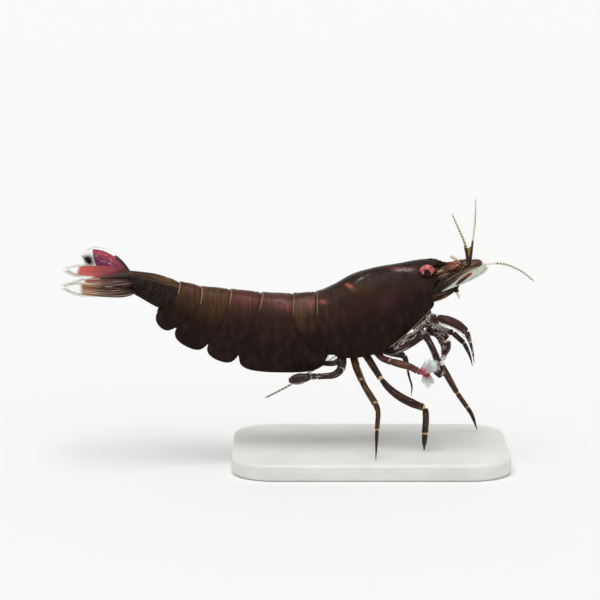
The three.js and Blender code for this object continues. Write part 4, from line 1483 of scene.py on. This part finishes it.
    def build(self) -> None:
        """Makes every limb, then the brushes and rows of bristles on the claws and jaw feet."""
        rng = np.random.default_rng(SEED + 1)
        slots = {"walking_leg": self.walking, "claw_leg": self.clawed, "mouth_limb": self.jaw_feet}
        for slot, limbs in slots.items():
            for limb in limbs:
                limb.build(slot, rng)
        self.brushes(rng)
        self.bristle_rows(rng)

    @staticmethod
    def brushes(rng: Rng) -> None:
        """Fans of long soft bristles on the claws: each fan opens round its own direction.

        Args:
            rng: the source of scatter.
        """
        tufts = Tuft()
        sides = 12
        maker = Bristles(rng, steps=5)
        fans = (  # root, direction, length, radius of the root patch, bristles
            ((8.42, -2.9, 5.88), (0.66, -0.1, 0.68), 1.1, 0.1, 60),
            ((8.5, -2.95, 5.78), (0.78, -0.1, 0.57), 1.35, 0.11, 70),
            ((8.6, -2.95, 5.66), (0.86, -0.1, 0.47), 1.25, 0.1, 60),
            ((8.74, -2.6, 5.54), (-0.12, -0.25, -0.95), 0.66, 0.09, 44),
            ((8.86, -2.65, 5.5), (0.16, -0.25, -0.95), 0.9, 0.09, 50),
            ((8.98, -2.65, 5.54), (0.45, -0.25, -0.85), 0.78, 0.09, 44),
            ((9.85, -2.35, 6.15), (0.6, -0.2, 0.7), 0.36, 0.1, 26),
            ((10.28, 1.2, 6.2), (-0.2, -0.5, -0.8), 0.4, 0.12, 40),
        )
        for root, direction, length, width, count in fans:
            spot = root + rng.normal(0, width * 0.5, (count, 3))
            fan = unit(direction + rng.normal(0, 0.13, (count, 3)))
            uv = np.stack([rng.uniform(0.05, 0.95, count), rng.uniform(0.05, 0.95, count)], -1)
            maker.grow(tufts, spot, fan, length * 0.92, 0.04, fan * 0.1, uv, 0.03)
            core = end_spacing(16)
            path = root + unit(np.array(direction)) * length * 0.9 * core[:, None]
            half = width * (1.1 + 1.1 * core) * rounded_ends(core, 0.12, 0.3)
            grid = ring_sweep(path, SIDEWAYS, half * 0.8, half, sides)
            patch = Bristles.PATCH * Shape.uv_patch(core, sides)
            tufts.add_many(grid[None], patch, uv[:1], along=core[:, None])
        tufts.finish("claw_brushes", "claw_leg",
                     BristleFinish(tip=(240, 244, 242), root=(220, 92, 108), tint_to=0.55))

    @staticmethod
    def bristle_rows(rng: Rng) -> None:
        """Rows of short cream bristles along lines on the head's underside and on the limbs round the mouth.

        Args:
            rng: the source of scatter.
        """
        rows = Tuft()
        maker = Bristles(rng)
        edge = ((6.9, -1.8, 7.62), (7.7, -1.75, 8.25), (8.5, -1.6, 9), (9.2, -1.4, 9.75))
        lines = (  # a line of points, the way the bristles lean, their length, number and scatter
            (edge, (0.75, -0.4, -0.5), 0.42, 36, 0.05),
            (edge, (0, -0.4, -0.9), 0.42, 30, 0.05),
            (((6.6, -1.8, 7.25), (7.8, -2.25, 8), (8.7, -2.4, 8.6)), (0.8, -0.5, 0.5), 0.34, 36, 0.05),
            (((10, -1.25, 8.86), (10.8, -1.3, 8.66), (11.6, -1.35, 8)), (0.1, -0.5, -0.85), 0.2, 38, 0.02),
            (((9.7, -1.05, 8.75), (10.2, 0.3, 8.2), (10.45, 1, 7.7)), (0.5, -0.6, -0.6), 0.36, 42, 0.12),
            (((9.6, -0.9, 8.6), (10, 0.6, 7.9), (10.3, 1.1, 7.2)), (-0.5, -0.6, 0.6), 0.34, 36, 0.12),
            (((10.1, 1.15, 7.6), (10.3, 1.15, 7.1), (10.3, 1.15, 6.5)), (-0.4, -0.8, -0.3), 0.34, 36, 0.12),
            (((11.8, -1.35, 8.2), (12.1, -1.3, 7.3), (12.28, -1.25, 6.2)), (0.5, -0.3, -0.8), 0.2, 24, 0.02),
            (((9, -1, 8.9), (9.4, -1, 8.75), (9.9, -0.9, 8.7)), (0.6, -0.6, -0.5), 0.36, 30, 0.12),
        )
        for line, lean, length, count, scatter in lines:
            at = np.sort(rng.uniform(0, 1, count))
            spot = curve_through(line, at) + rng.normal(0, scatter, (count, 3))
            uv = np.stack([rng.uniform(0.05, 0.95, count), at * 0.95], -1)
            maker.grow(rows, spot, unit(np.array(lean)), length, 0.028, np.array([0.2, 0, 0.3]), uv, 0.3)
        rows.finish("mouth_bristles", "mouth_limb", BristleFinish(tip=(250, 247, 238), root=(232, 218, 200)))


# ---- feelers
@dataclass(frozen=True)
class Feeler:
    """A thin ringed feeler: its points, its radii at the root and tip, and how far its rings stand out."""

    node: str
    points: tuple[Spot, ...]
    root_radius: float
    tip_radius: float
    rings_per_mm: float = 5.0
    bead: float = 0.28
    plain: float = 0.3
    start: float = 0.0
    end: float = 1.0
    gradient: float = 0.0
    faint: tuple[float, float] = (0, 0)  # the stretch that is clear and nearly white
    finish: FeelerFinish = FeelerFinish()

    def build(self) -> None:
        """A tube whose radius is a taper times 1 + bead*|sin|, so that it looks like a string of beads."""
        length = length_of(np.array(self.points)) * (self.end - self.start)
        rings = max(6, int(length * self.rings_per_mm))
        share = np.linspace(self.start, self.end, rings * 8 + 1)
        path = Side.of(self.node).point(curve_through(self.points, share))
        own = np.linspace(0, 1, len(share))
        radius = self.root_radius * (self.tip_radius / self.root_radius) ** share
        wave = np.abs(np.sin(np.pi * own * rings))
        clear = ease(self.plain * 0.5, self.plain, share)
        radius = radius * (1 + self.bead * clear * (wave - 0.6))
        radius = np.maximum(radius * rounded_ends(own, 0 if self.start > 0 else 0.01, 0.03), 0.006)
        band = np.maximum(ease(0.3, 0.8, wave) * (1 - self.gradient), ease(0.22, 0.5, share) * self.gradient)
        shape = Shape()
        low, high = self.faint
        faint = ease(low - 0.02, low, share) * ease(high + 0.02, high, share) * (high > low)
        shape.add(ring_sweep(path, SIDEWAYS, radius, radius, 10), ring=(band * clear)[:, None],
                  faint=faint[:, None], root=ease(self.plain, self.plain * 0.4, share)[:, None] * 0.85)
        shape.finish(self.node + "_thread", "feeler", self.finish, self.node)


FAR_ANTENNA = (
    (11.1, 1.05, 11.6), (11.15, 2.3, 11.2), (10.06, 3.4, 10.66), (7.21, 4, 9.31), (3.25, 3.9, 6.03),
    (0.72, 3.5, 4.48), (-0.72, 3.1, 3.61), (-2.52, 2.6, 2.75))


@dataclass
class HeadLimbs:
    """The antennules, the antennae with their scales, and their bases."""

    antennule: Table = (
        (9.3, 0.6, 12.05, 0.42), (10, 0.66, 12.34, 0.47), (10.7, 0.68, 12.62, 0.41),
        (10.76, 0.68, 12.64, 0.39), (11.3, 0.68, 12.82, 0.34), (11.36, 0.68, 12.84, 0.32),
        (11.97, 0.7, 13.02, 0.22))
    base: Table = (
        (9, 0.85, 10.9, 0.62), (9.6, 0.92, 11.1, 0.66), (10.2, 0.97, 11.3, 0.58), (10.8, 1, 11.5, 0.36),
        (11.2, 1, 11.66, 0.14))
    scale: Blade = Blade(
        line=((9.7, 1.45, 11.3), (10.4, 1.7, 11.78), (11.77, 1.85, 12.6), (12.6, 1.9, 12.98),
              (13, 1.9, 13.12)),
        half=(0.16, 0.4, 0.5, 0.46, 0.36), wide=(0, 0.35, 0.94), thick=0.12, arch=0.1, rib=0.06,
        fringe=0.2, fringe_from=0.3, bristles=210, fringe_sides=(-1,))
    left_drop: float = 0.34  # the left scale hangs this much lower at its tip
    drop_parts: Row = (0.2, 0.5, 0.9, 1, 1)  # the share of that at each of its points
    feelers: tuple[Feeler, ...] = (
        Feeler("antennule_outer_right", (
            (11.93, 0.78, 13.02), (12, 0.9, 13.6), (12.08, 0.95, 14.33), (12.22, 1, 15.9), (12.3, 1, 17.92)),
            0.13, 0.026, 5, 0.05, 0.4, gradient=1, finish=FeelerFinish((56, 33, 20), (228, 224, 208))),
        Feeler("antennule_inner_right", (
            (11.88, 0.6, 13.02), (11.78, 0.45, 13.6), (11.62, 0.3, 14.44), (11.23, 0.25, 15.36),
            (10.69, 0.2, 16.56)),
            0.15, 0.045, 4.6, 0.36, 0.42, finish=FeelerFinish((56, 33, 20), (216, 204, 170))),
        Feeler("antennule_outer_left", (
            (11.95, 0.78, 13.02), (12.15, 0.9, 13.8), (12.25, 1, 14.5), (12.39, 1, 15.67), (12.44, 1, 17.36)),
            0.1, 0.03, 5, 0.2, 0.4),
        Feeler("antennule_inner_left", (
            (11.9, 0.8, 12.95), (11.5, 1.34, 12.95), (11.2, 1.55, 12.97), (10.95, 2, 13.08),
            (10.86, 2.8, 13.02), (10.88, 3.8, 12.86)),
            0.13, 0.11, 4, 0.1, 0.12, finish=FeelerFinish((190, 172, 134), (228, 216, 182))),
        Feeler("antenna_right", (
            (11.05, 0.98, 11.6), (11.3, 0.97, 11.8), (11.96, 0.95, 12.3), (13.07, 1, 13.09),
            (14.26, 1.1, 13.15), (15.38, 1.2, 12.74), (16.44, 1.3, 11.97)),
            0.12, 0.055, 4.6, 0.32, 0.2, faint=(0.3, 0.5),
            finish=FeelerFinish((88, 80, 62), (212, 210, 178))),
        Feeler("antenna_left_front", FAR_ANTENNA, 0.13, 0.06, 4.6, 0.35, 0.15, 0, 0.5, faint=(0.36, 0.52)),
        Feeler("antenna_left_rear", FAR_ANTENNA, 0.13, 0.07, 3.6, 0.5, 0.15, 0.5, 1, faint=(0.61, 0.74),
               finish=FeelerFinish((34, 26, 20), (228, 220, 196))),
    )

    def build(self) -> None:
        """Makes both sides' bases and scales, then every feeler."""
        rng = np.random.default_rng(SEED + 2)
        for side in Side:
            self.bases(side)
            drop = self.left_drop if side is Side.LEFT else 0
            line = tuple((x, y, z - drop * part) for (x, y, z), part in zip(self.scale.line, self.drop_parts))
            finish = BladeFinish(
                (34, 22, 18), (52, 33, 25), (92, 50, 36), tip=(214, 222, 204), edge=(240, 238, 228),
                vein=(216, 190, 150), tip_from=1.2, root_to=0.35, veined=0.52, mottled=0.66)
            replace(self.scale, line=line).make(
                f"antenna_scale_{side.word}", "scale", finish, rng, pale=self.pale_half,
                dark=self.dark_stripes, red=self.red_spot, edge=self.white_line)
        for feeler in self.feelers:
            feeler.build()
        self.web()

    @staticmethod
    def pale_half(along: Array, across: Array, face: Array) -> Array:
        """The pale lower part of the scale, which widens to all of it at the tip. Its inner face is darker.

        Args:
            along: shares of the length.
            across: places from -1 to 1 across the leaf.
            face: above 0 on the inner side.

        Returns:
            How pale each point is.
        """
        line = HeadLimbs.parting(along) + ease(0.88, 0.98, along) - 1.6 * (face > 0)
        wedge = bell(across, line - 0.36, 0.3) * ease(0.22, 0.45, along) * ease(0.8, 0.64, along) * (face < 0)
        return ease(line + 0.06, line - 0.06, across) * ease(0.02, 0.08, along) * (1 - wedge)

    @staticmethod
    def parting(along: Array) -> Array:
        """Where across the scale its pale lower part meets the dark upper one."""
        return mix(-0.8, 0.1, ease(0, 0.8, along))

    @staticmethod
    def white_line(along: Array, across: Array, face: Array) -> Array:
        """A white line along the parting of the scale's two colours."""
        return bell(across, HeadLimbs.parting(along) + 0.1, 0.06) * ease(0.05, 0.2, along) * (face < 0)

    @staticmethod
    def dark_stripes(along: Array, across: Array, face: Array) -> Array:
        """Dark lines that run along the scale's upper part."""
        lines = bell(across, 0.3, 0.06) + bell(across, 0.62, 0.05) + 0.7 * bell(across, 0.95, 0.08)
        return np.clip(lines, 0, 1) * ease(0.93, 0.8, along) * 0.85

    @staticmethod
    def red_spot(along: Array, across: Array, face: Array) -> Array:
        """A small red mark near the middle of the scale's upper part."""
        return bell(along, 0.66, 0.06) * bell(across, HeadLimbs.parting(along) - 0.36, 0.14) * (face < 0)

    def bases(self, side: Side) -> None:
        """The antennule's three links with a spine beside them, and the antenna's stout base with its tooth.

        Args:
            side: the side of the head.
        """
        shape = Shape()
        knots = np.array(self.antennule)
        for start, end in ((0, 4), (5, 6)):
            share = end_spacing(40)
            read = curve_through(knots[start:end + 1], share)
            radius = read[:, 3] * (1 + 0.03 * bell(share, 0.9, 0.08)) * rounded_ends(share, 0.03, 0.03)
            radius = np.maximum(radius, 0.01)
            grid = ring_sweep(side.point(read), UP, radius, radius * 0.9, 30)
            red = bell(grid[..., 0], 10.82, 0.34) * ease(0, 0.25, grid[..., 2] - read[:, None, 2])
            pale = (0.2 * ease(0.95, 0.99, share))[:, None] + 0.75 * bell(grid[..., 0], 9.85, 0.3) * bell(
                grid[..., 2] - read[:, None, 2], 0.3, 0.09)
            shape.add(grid, start * 0.3 + share, pale=pale, warm=1, red=red * 0.75)
        spine = np.array([(9.7, 1.02, 12.05), (10.3, 1.12, 12.3), (10.95, 1.12, 12.55)])
        share = np.linspace(0, 1, 24)
        thin = 0.09 * (1 - share) + 0.012
        shape.add(ring_sweep(side.point(curve_through(spine, share)), UP, thin * 1.5, thin, 12), warm=0.9)
        shape.finish(f"antennule_links_{side.word}", "head_limb", PEDUNCLE, f"antennule_base_{side.word}")
        shape = Shape()
        share = end_spacing(44)
        read = curve_through(self.base, share)
        half = np.maximum(read[:, 3] * rounded_ends(share, 0.05, 0.08), 0.01)
        grid = ring_sweep(side.point(read), UP, half, half * 0.72, 40)
        turn = circle(40)
        under = ease(-0.82, -0.93, np.cos(turn))[None, :] * ease(0.06, 0.2, share)[:, None]
        shape.add(grid, share, pale=under * 0.95, warm=0.6)
        along = np.linspace(0, 1, 16)
        path = mix(np.array((10.98, 1.2, 11.35)), np.array((11.22, 1.25, 10.68)), along[:, None])
        thick = 0.15 * (1 - along) ** 0.6 + 0.015
        shape.add(ring_sweep(side.point(path), SIDEWAYS, thick, thick, 12),
                  pale=(0.95 * ease(0.2, 0.4, along))[:, None])
        shape.finish(f"antenna_stem_{side.word}", "head_limb", STEM, f"antenna_base_{side.word}")

    @staticmethod
    def web() -> None:
        """The thin golden fold of skin between the roots of the right antennule's two feelers."""
        rise = np.linspace(0, 1, 24)
        left = curve_through(((11.88, -0.5, 13.05), (11.78, -0.3, 13.75), (11.66, -0.16, 14.45)), rise)
        right = curve_through(((11.95, -0.6, 13.05), (12, -0.68, 13.6), (12, -0.66, 14.2)), rise)
        middle, half = (left + right) / 2, np.linalg.norm(right - left, axis=1) / 2
        shape = Shape()
        grid = ring_sweep(middle, np.array([1, -0.3, 0]), np.maximum(half, 0.01), np.full(24, 0.018), 20)
        inner = 1 - np.abs(np.cos(circle(20)))
        grid[..., 2] -= 0.42 * ease(0.55, 1, rise)[:, None] * inner
        shape.add(grid, along=rise[:, None], across=0.5)
        finish = BladeFinish((172, 110, 40), (150, 122, 52), (168, 140, 70), tip=(220, 206, 150),
                             vein=(120, 84, 34), tip_from=1.3)
        shape.finish("antennule_web", "head_limb", finish)


# ---- tail, swimmerets, mouth, breast
@dataclass
class Tail:
    """The telson and the four blades of the tail fan, each with a fringe at its clear tip."""

    blades: tuple[tuple[str, Blade, BladeFinish], ...] = (
        ("telson", Blade(
            line=((-11.8, 0, 12.02), (-13.07, 0, 12.05), (-14.14, 0, 12), (-15, 0, 11.89)),
            half=(0.5, 0.5, 0.42, 0.28), wide=(0, 1, 0), thick=0.4, root_thick=0.95, arch=0.12, rib=0.04,
            fringe=0.36, fringe_from=0.72, bristles=60),
         BladeFinish((40, 26, 22), (78, 38, 35), (206, 78, 44), tip_from=0.9, root_to=0.7)),
        ("tail_fan_inner_left", Blade(
            line=((-11.7, 0.35, 11.95), (-12.2, 0.6, 12.1), (-13.36, 1.25, 12.26), (-14.81, 1.6, 12.2),
                  (-16.5, 1.9, 12.22)),
            half=(0.25, 0.42, 0.58, 0.62, 0.3), wide=(0, 1, 0.48), root_thick=0.45, arch=-0.1),
         BladeFinish((42, 24, 22), (142, 56, 64), (192, 70, 54), tip_from=0.84, root_to=0.42, veined=0.57)),
        ("tail_fan_outer_left", Blade(
            line=((-11.95, 1.1, 11.9), (-13, 2.15, 12.5), (-14.1, 2.65, 12.86), (-15.45, 3.1, 12.95)),
            half=(0.16, 0.5, 0.78, 0.74), wide=(0, 0.35, 0.94), root_thick=0.25, arch=-0.14, spoon=-0.6,
            fringe=0.12, fringe_from=0.55, tip_round=0.2),
         BladeFinish((108, 36, 54), (134, 52, 88), (120, 54, 98), edge=(166, 44, 66), tip_from=1.3,
                     root_to=0.2, veined=0.6)),
        ("tail_fan_inner_right", Blade(
            line=((-11.4, 0.3, 11.8), (-12.2, 0.8, 11.76), (-13.21, 1.25, 11.82), (-14.59, 1.55, 11.92),
                  (-15.85, 1.75, 11.8)),
            half=(0.2, 0.4, 0.48, 0.5, 0.3), wide=(0, 0.95, -0.3), root_thick=0.6, arch=0.1, fringe=0.4),
         BladeFinish((36, 23, 21), (72, 40, 38), (138, 72, 52), vein=(226, 196, 168), tip_from=0.82,
                     root_to=0.5, veined=0.52)),
        ("tail_fan_outer_right", Blade(
            line=((-11.35, 0.3, 11.3), (-12, 0.95, 11.2), (-12.97, 1.95, 11.28), (-14.33, 2.6, 11.5),
                  (-16.35, 3, 11.8)),
            half=(0.2, 0.42, 0.52, 0.6, 0.32), wide=(0, 0.85, -0.5), root_thick=0.6, arch=0.12),
         BladeFinish((36, 23, 21), (68, 40, 38), (140, 82, 46), vein=(230, 206, 172), tip_from=0.8,
                     root_to=0.55, veined=0.52)),
    )

    def build(self) -> None:
        """Makes the telson, then the fan's blades. Only a spooned one has rims of its own colours, with
        painted shade in its curled hollow and painted highlights in its purple.
        """
        rng = np.random.default_rng(SEED + 3)
        rims = {"pale": self.rim_pale, "edge": self.rim_crimson, "dark": self.rim_dark}
        for node, blade, finish in self.blades:
            blade.make(node, "tail_fan", finish, rng, **(rims if blade.spoon else {}))

    @staticmethod
    def rim_pale(along: Array, across: Array, face: Array) -> Array:
        """The raised blade's clear end, which runs back along its upper rim, and a pale line and loop in its
        purple, which are painted highlights.

        Args:
            along: shares of the length.
            across: places from -1 to 1 across the leaf.
            face: above 0 on the inner side; not used.

        Returns:
            How pale each point is.
        """
        start = 0.78 + 0.07 * across
        end = ease(start - 0.01, start + 0.03, along)
        rim = ease(0.7, 0.84, across) * ease(0.46, 0.52, along)
        # Painted highlights: a pale line and a loop in the purple.
        line = 0.6 * bell(across, -0.3 + 0.5 * (along - 0.3), 0.06) * bell(along, 0.48, 0.2)
        loop = 0.55 * bell(np.hypot((along - 0.62) / 0.13, (across - 0.12) / 0.34), 1, 0.13)
        return np.maximum(np.maximum(end, rim), np.maximum(line, loop))

    @staticmethod
    def rim_crimson(along: Array, across: Array, face: Array) -> Array:
        """Crimson along the raised blade's upper half, where the rest of it is purple."""
        return np.maximum(ease(0.05, 0.5, across), ease(0.16, 0.06, along))

    @staticmethod
    def rim_dark(along: Array, across: Array, face: Array) -> Array:
        """A dark stem along the upper rim near the root, and painted shade in the hollow of the curled end.

        Args:
            along: shares of the length.
            across: places from -1 to 1 across the leaf.
            face: above 0 on the inner side; not used.

        Returns:
            How dark each point is.
        """
        stem = ease(0.5, 0.62, across) * ease(0.04, 0.08, along) * ease(0.5, 0.44, along)
        # Painted shade in the hollow of the curled end, with a softer ring round it.
        hollow = np.hypot((along - 0.87) / 0.06, (across + 0.4) / 0.34)
        return np.clip(stem + 1.2 * bell(hollow, 0, 1.1) + 0.35 * bell(hollow, 0, 2.2), 0, 1)


@dataclass
class Swimmerets:
    """Five pairs under the abdomen, each a short stem with two fringed leaves."""

    plates: BodyPlates
    offset: float = 0.6
    wall: float = 0.72
    root_gap: float = 0.3
    min_length: float = 1.1
    sweep: float = 0.3
    forward: float = 0.19  # how much further forward each later pair sits
    upright: int = 2  # the number of pairs that hang straight below their plates

    def build(self) -> None:
        """Makes each swimmeret under the middle of its plate."""
        rng = np.random.default_rng(SEED + 4)
        for number in range(1, 6):
            section = self.plates.section(number, np.array([0.5]))
            x, margin_z = section.low[0]
            x += self.forward * max(number - self.upright, 0)
            margin_y = section.half[0] * math.sin(self.plates.arch_end) ** self.plates.arch_power
            y = min(self.offset, margin_y - self.wall)
            root_z = margin_z + section.hollow[0] * math.sin((1 - y / margin_y) * math.pi / 2) - self.root_gap
            tip_z = min(margin_z + 0.3, root_z - self.min_length)
            for side in Side:
                self.one(number, side, x, y, root_z, tip_z, rng)

    def one(self, number: int, side: Side, x: float, y: float, root_z: float, tip_z: float,
            rng: Rng) -> None:
        """A stem down to its middle, then an outer and an inner leaf swept back.

        Args:
            number: its plate's number.
            side: the side of the body.
            x: how far forward it stands.
            y: how far from the middle plane.
            root_z: the height of its root.
            tip_z: the height of its tip.
            rng: the source of scatter.
        """
        middle = (root_z + tip_z) / 2
        stem, leaves, hairs = Shape(), Shape(), Tuft()
        share = end_spacing(20)
        line = ((x - 0.1, y, root_z + 0.3), (x - 0.15, y, root_z), (x - 0.2, y, middle))
        path = side.point(curve_through(line, share))
        half = 0.17 * rounded_ends(share, 0.06, 0.1)
        stem.add(ring_sweep(path, SIDEWAYS, half, half * 1.25, 20), down=0.6, streak=0.5, olive=0.2)
        for away, back in ((0.14, 1), (-0.12, 0.6)):
            line = ((x - 0.18, y + away * 0.5, middle + 0.1), (x - 0.4, y + away, mix(middle, tip_z, 0.5)),
                    (x - self.sweep * back, y + away, tip_z))
            leaf = Blade(line, half=(0.09, 0.26, 0.08), wide=(1, 0, 0.2), thick=0.07, arch=0.03, rib=0.02,
                         ripple=0, fringe=0.12, fringe_from=0.25, bristles=36)
            leaf.lay(side, leaves, hairs, rng, pale=0, dark=0)
        tag = f"swimmeret_{number}_{side.word}"
        stem.finish(tag + "_stem", "swimmeret", ShellFinish(), tag)
        leaves.finish(tag + "_leaves", "swimmeret",
                      BladeFinish((54, 38, 32), (92, 62, 50), (120, 86, 70), tip_from=0.92))
        hairs.finish(tag + "_fringe", "swimmeret", BristleFinish())


@dataclass
class Underside:
    """The breast plate between the legs' roots, and the mouthparts."""

    line: Table = ((2.6, 6.95), (4, 6.85), (5.2, 6.95), (6.3, 7.3), (7.3, 7.95))
    half: Row = (0.45, 0.5, 0.5, 0.5, 0.45)
    roots: Table = ((3, 6.72), (3.72, 6.72), (4.59, 6.74), (5.41, 6.84), (6.2, 6.92))
    # Each jaw: its middle, then half its length, width and height.
    jaws: Table = (
        (8.35, 0.4, 8.5, 0.42, 0.3, 0.34), (8.75, 0.38, 8.9, 0.42, 0.32, 0.46),
        (9, 0.4, 9.35, 0.34, 0.3, 0.42), (9.35, 0.34, 8.95, 0.34, 0.28, 0.42),
        (9.6, 0.3, 8.5, 0.3, 0.26, 0.42))

    def build(self) -> None:
        """Makes the plate with the legs' ball-like roots on it, then the jaws."""
        plate = Shape()
        share = end_spacing(70)
        path = curve_through(np.array([(x, 0, z + 0.1) for x, z in self.line]), share)
        ends = rounded_ends(share, 0.06, 0.06)
        half = spread(self.half, share) * ends
        ribs = 1 + 0.1 * np.cos(share * 12 * np.pi)
        plate.add(ring_sweep(path, SIDEWAYS, half * 1.6, 0.22 * ribs * ends, 40), down=0.9, streak=0.3)
        root = globe(24, 28, 0.06) * (0.34, 0.34, 0.3)
        for x, z in self.roots:
            for side in Side:
                plate.add(root + side.point((x, 0.82, z)), down=0.7, streak=0.4, olive=0.3)
        plate.finish("breast_shell", "shell", ShellFinish(), "breast_plate")
        jaws = Shape()
        for *middle, length, width, height in self.jaws:
            for side in Side:
                jaws.add(globe(24, 28, 0.06) * (length, width, height) + side.point(middle), warm=0.5, pale=0)
        jaws.finish("jaws", "mouth_limb", DARK, "mouthparts")


@dataclass
class Stand:
    """The plain base plate: a rounded rectangle with a fine rounded edge."""

    length: float = 19.6
    width: float = 13.6
    corner: float = 3.0
    height: float = 1.2
    edge: float = 0.28

    def build(self) -> None:
        """Rings of a rounded rectangle, stepped through a quarter round at the top and bottom edges."""
        bottom = BASE_TOP - self.height
        angle = np.linspace(0, np.pi / 2, 7)
        near, far = self.edge * (1 - np.sin(angle)), self.edge * (1 - np.cos(angle))
        inset = np.concatenate([[3.5, 1.5], near, far, [1.5, 3.5]])
        level = np.concatenate([[bottom, bottom], bottom + far, BASE_TOP - near, [BASE_TOP, BASE_TOP]])
        turn = circle(160)
        corner = np.maximum(self.corner - inset, 0.05)[:, None]
        reach_x = (self.length / 2 - inset)[:, None] - corner
        reach_y = (self.width / 2 - inset)[:, None] - corner
        c, s = np.cos(turn)[None, :], np.sin(turn)[None, :]
        grid = np.stack([BASE_CENTRE_X + np.sign(c) * reach_x + corner * c, np.sign(s) * reach_y + corner * s,
                         np.broadcast_to(level[:, None], (len(level), len(turn)))], -1)
        shape = Shape()
        shape.add(grid)
        shape.finish("stand_plate", "stand", StandFinish(), "stand_base", sharp=40)


# ---- floor, lights and camera
@dataclass
class Room:
    """A pale floor, soft lights and the camera."""

    distance: float = 212.3
    elevation: float = 10.0
    lens: float = 180.0
    sensor: float = 36.0
    target: Spot = (0.0, 0.0, 10.38)
    # Each light: its name, where it comes from, how wide it looks in degrees, and its strength.
    lights: tuple[tuple[str, Spot, float, float], ...] = (
        ("key", (-25, -45, 190), 46, 1.75),
        ("fill", (120, -170, 60), 60, 0.25),
    )

    def build(self) -> None:
        """Makes the floor, the lights, the world and the camera."""
        self.floor()
        scene = bpy.context.scene
        world = bpy.data.worlds.new("soft")
        world.use_nodes = True
        background = world.node_tree.nodes["Background"]
        background.inputs["Color"].default_value = (1, 1, 1, 1)
        background.inputs["Strength"].default_value = 0.5
        scene.world = world
        scene.view_settings.view_transform = "Standard"
        centre = placed(np.array(self.target))
        for name, offset, width, power in self.lights:
            data = bpy.data.lights.new(name, "SUN")
            data.angle, data.energy = math.radians(width), power
            lamp = bpy.data.objects.new(name, data)
            lamp.location = centre + np.array(offset) * MM
            lamp.rotation_euler = self.aim(lamp.location, centre)
            scene.collection.objects.link(lamp)
        data = bpy.data.cameras.new("camera")
        data.lens, data.sensor_width, data.clip_start = self.lens, self.sensor, 0.005
        camera = bpy.data.objects.new("camera", data)
        angle = math.radians(self.elevation)
        camera.location = centre + self.distance * MM * np.array([0, -math.cos(angle), math.sin(angle)])
        camera.rotation_euler = self.aim(camera.location, centre)
        scene.collection.objects.link(camera)
        scene.camera = camera

    @staticmethod
    def aim(place: Array, at: Array) -> Spot:
        """The turn that points a camera or lamp from one place at another."""
        return (Vector(at) - Vector(place)).to_track_quat("-Z", "Y").to_euler()

    @staticmethod
    def floor() -> None:
        """A wide floor that bends up into a wall far behind."""
        depth = np.array([-1.5, 0, 1.5, 1.9, 2.15, 2.25, 2.25])
        height = np.array([0, 0, 0, 0.08, 0.3, 0.7, 2])
        points = [(x, y, z) for y, z in zip(depth, height) for x in (-2.5, 2.5)]
        faces = [(2 * k, 2 * k + 1, 2 * k + 3, 2 * k + 2) for k in range(len(depth) - 1)]
        mesh = bpy.data.meshes.new("floor")
        mesh.from_pydata(points, [], faces)
        floor = bpy.data.objects.new("floor", mesh)
        bpy.context.scene.collection.objects.link(floor)
        paint = Paint("floor")
        paint.colour = (0.88, 0.88, 0.875)
        mesh.materials.append(paint.dress(Roughness=0.85, Specular_IOR_Level=0.1))


def main() -> None:
    """Builds the shrimp from the middle outwards, then its stand and the room."""
    logging.basicConfig(level=logging.INFO, format="%(name)s: %(message)s")
    plates = BodyPlates()
    plates.build()
    HeadShield(plates).build()
    Eyes().build()
    HeadLimbs().build()
    Legs().build()
    Tail().build()
    Swimmerets(plates).build()
    Underside().build()
    Stand().build()
    Room().build()


if __name__ == "__main__":
    main()
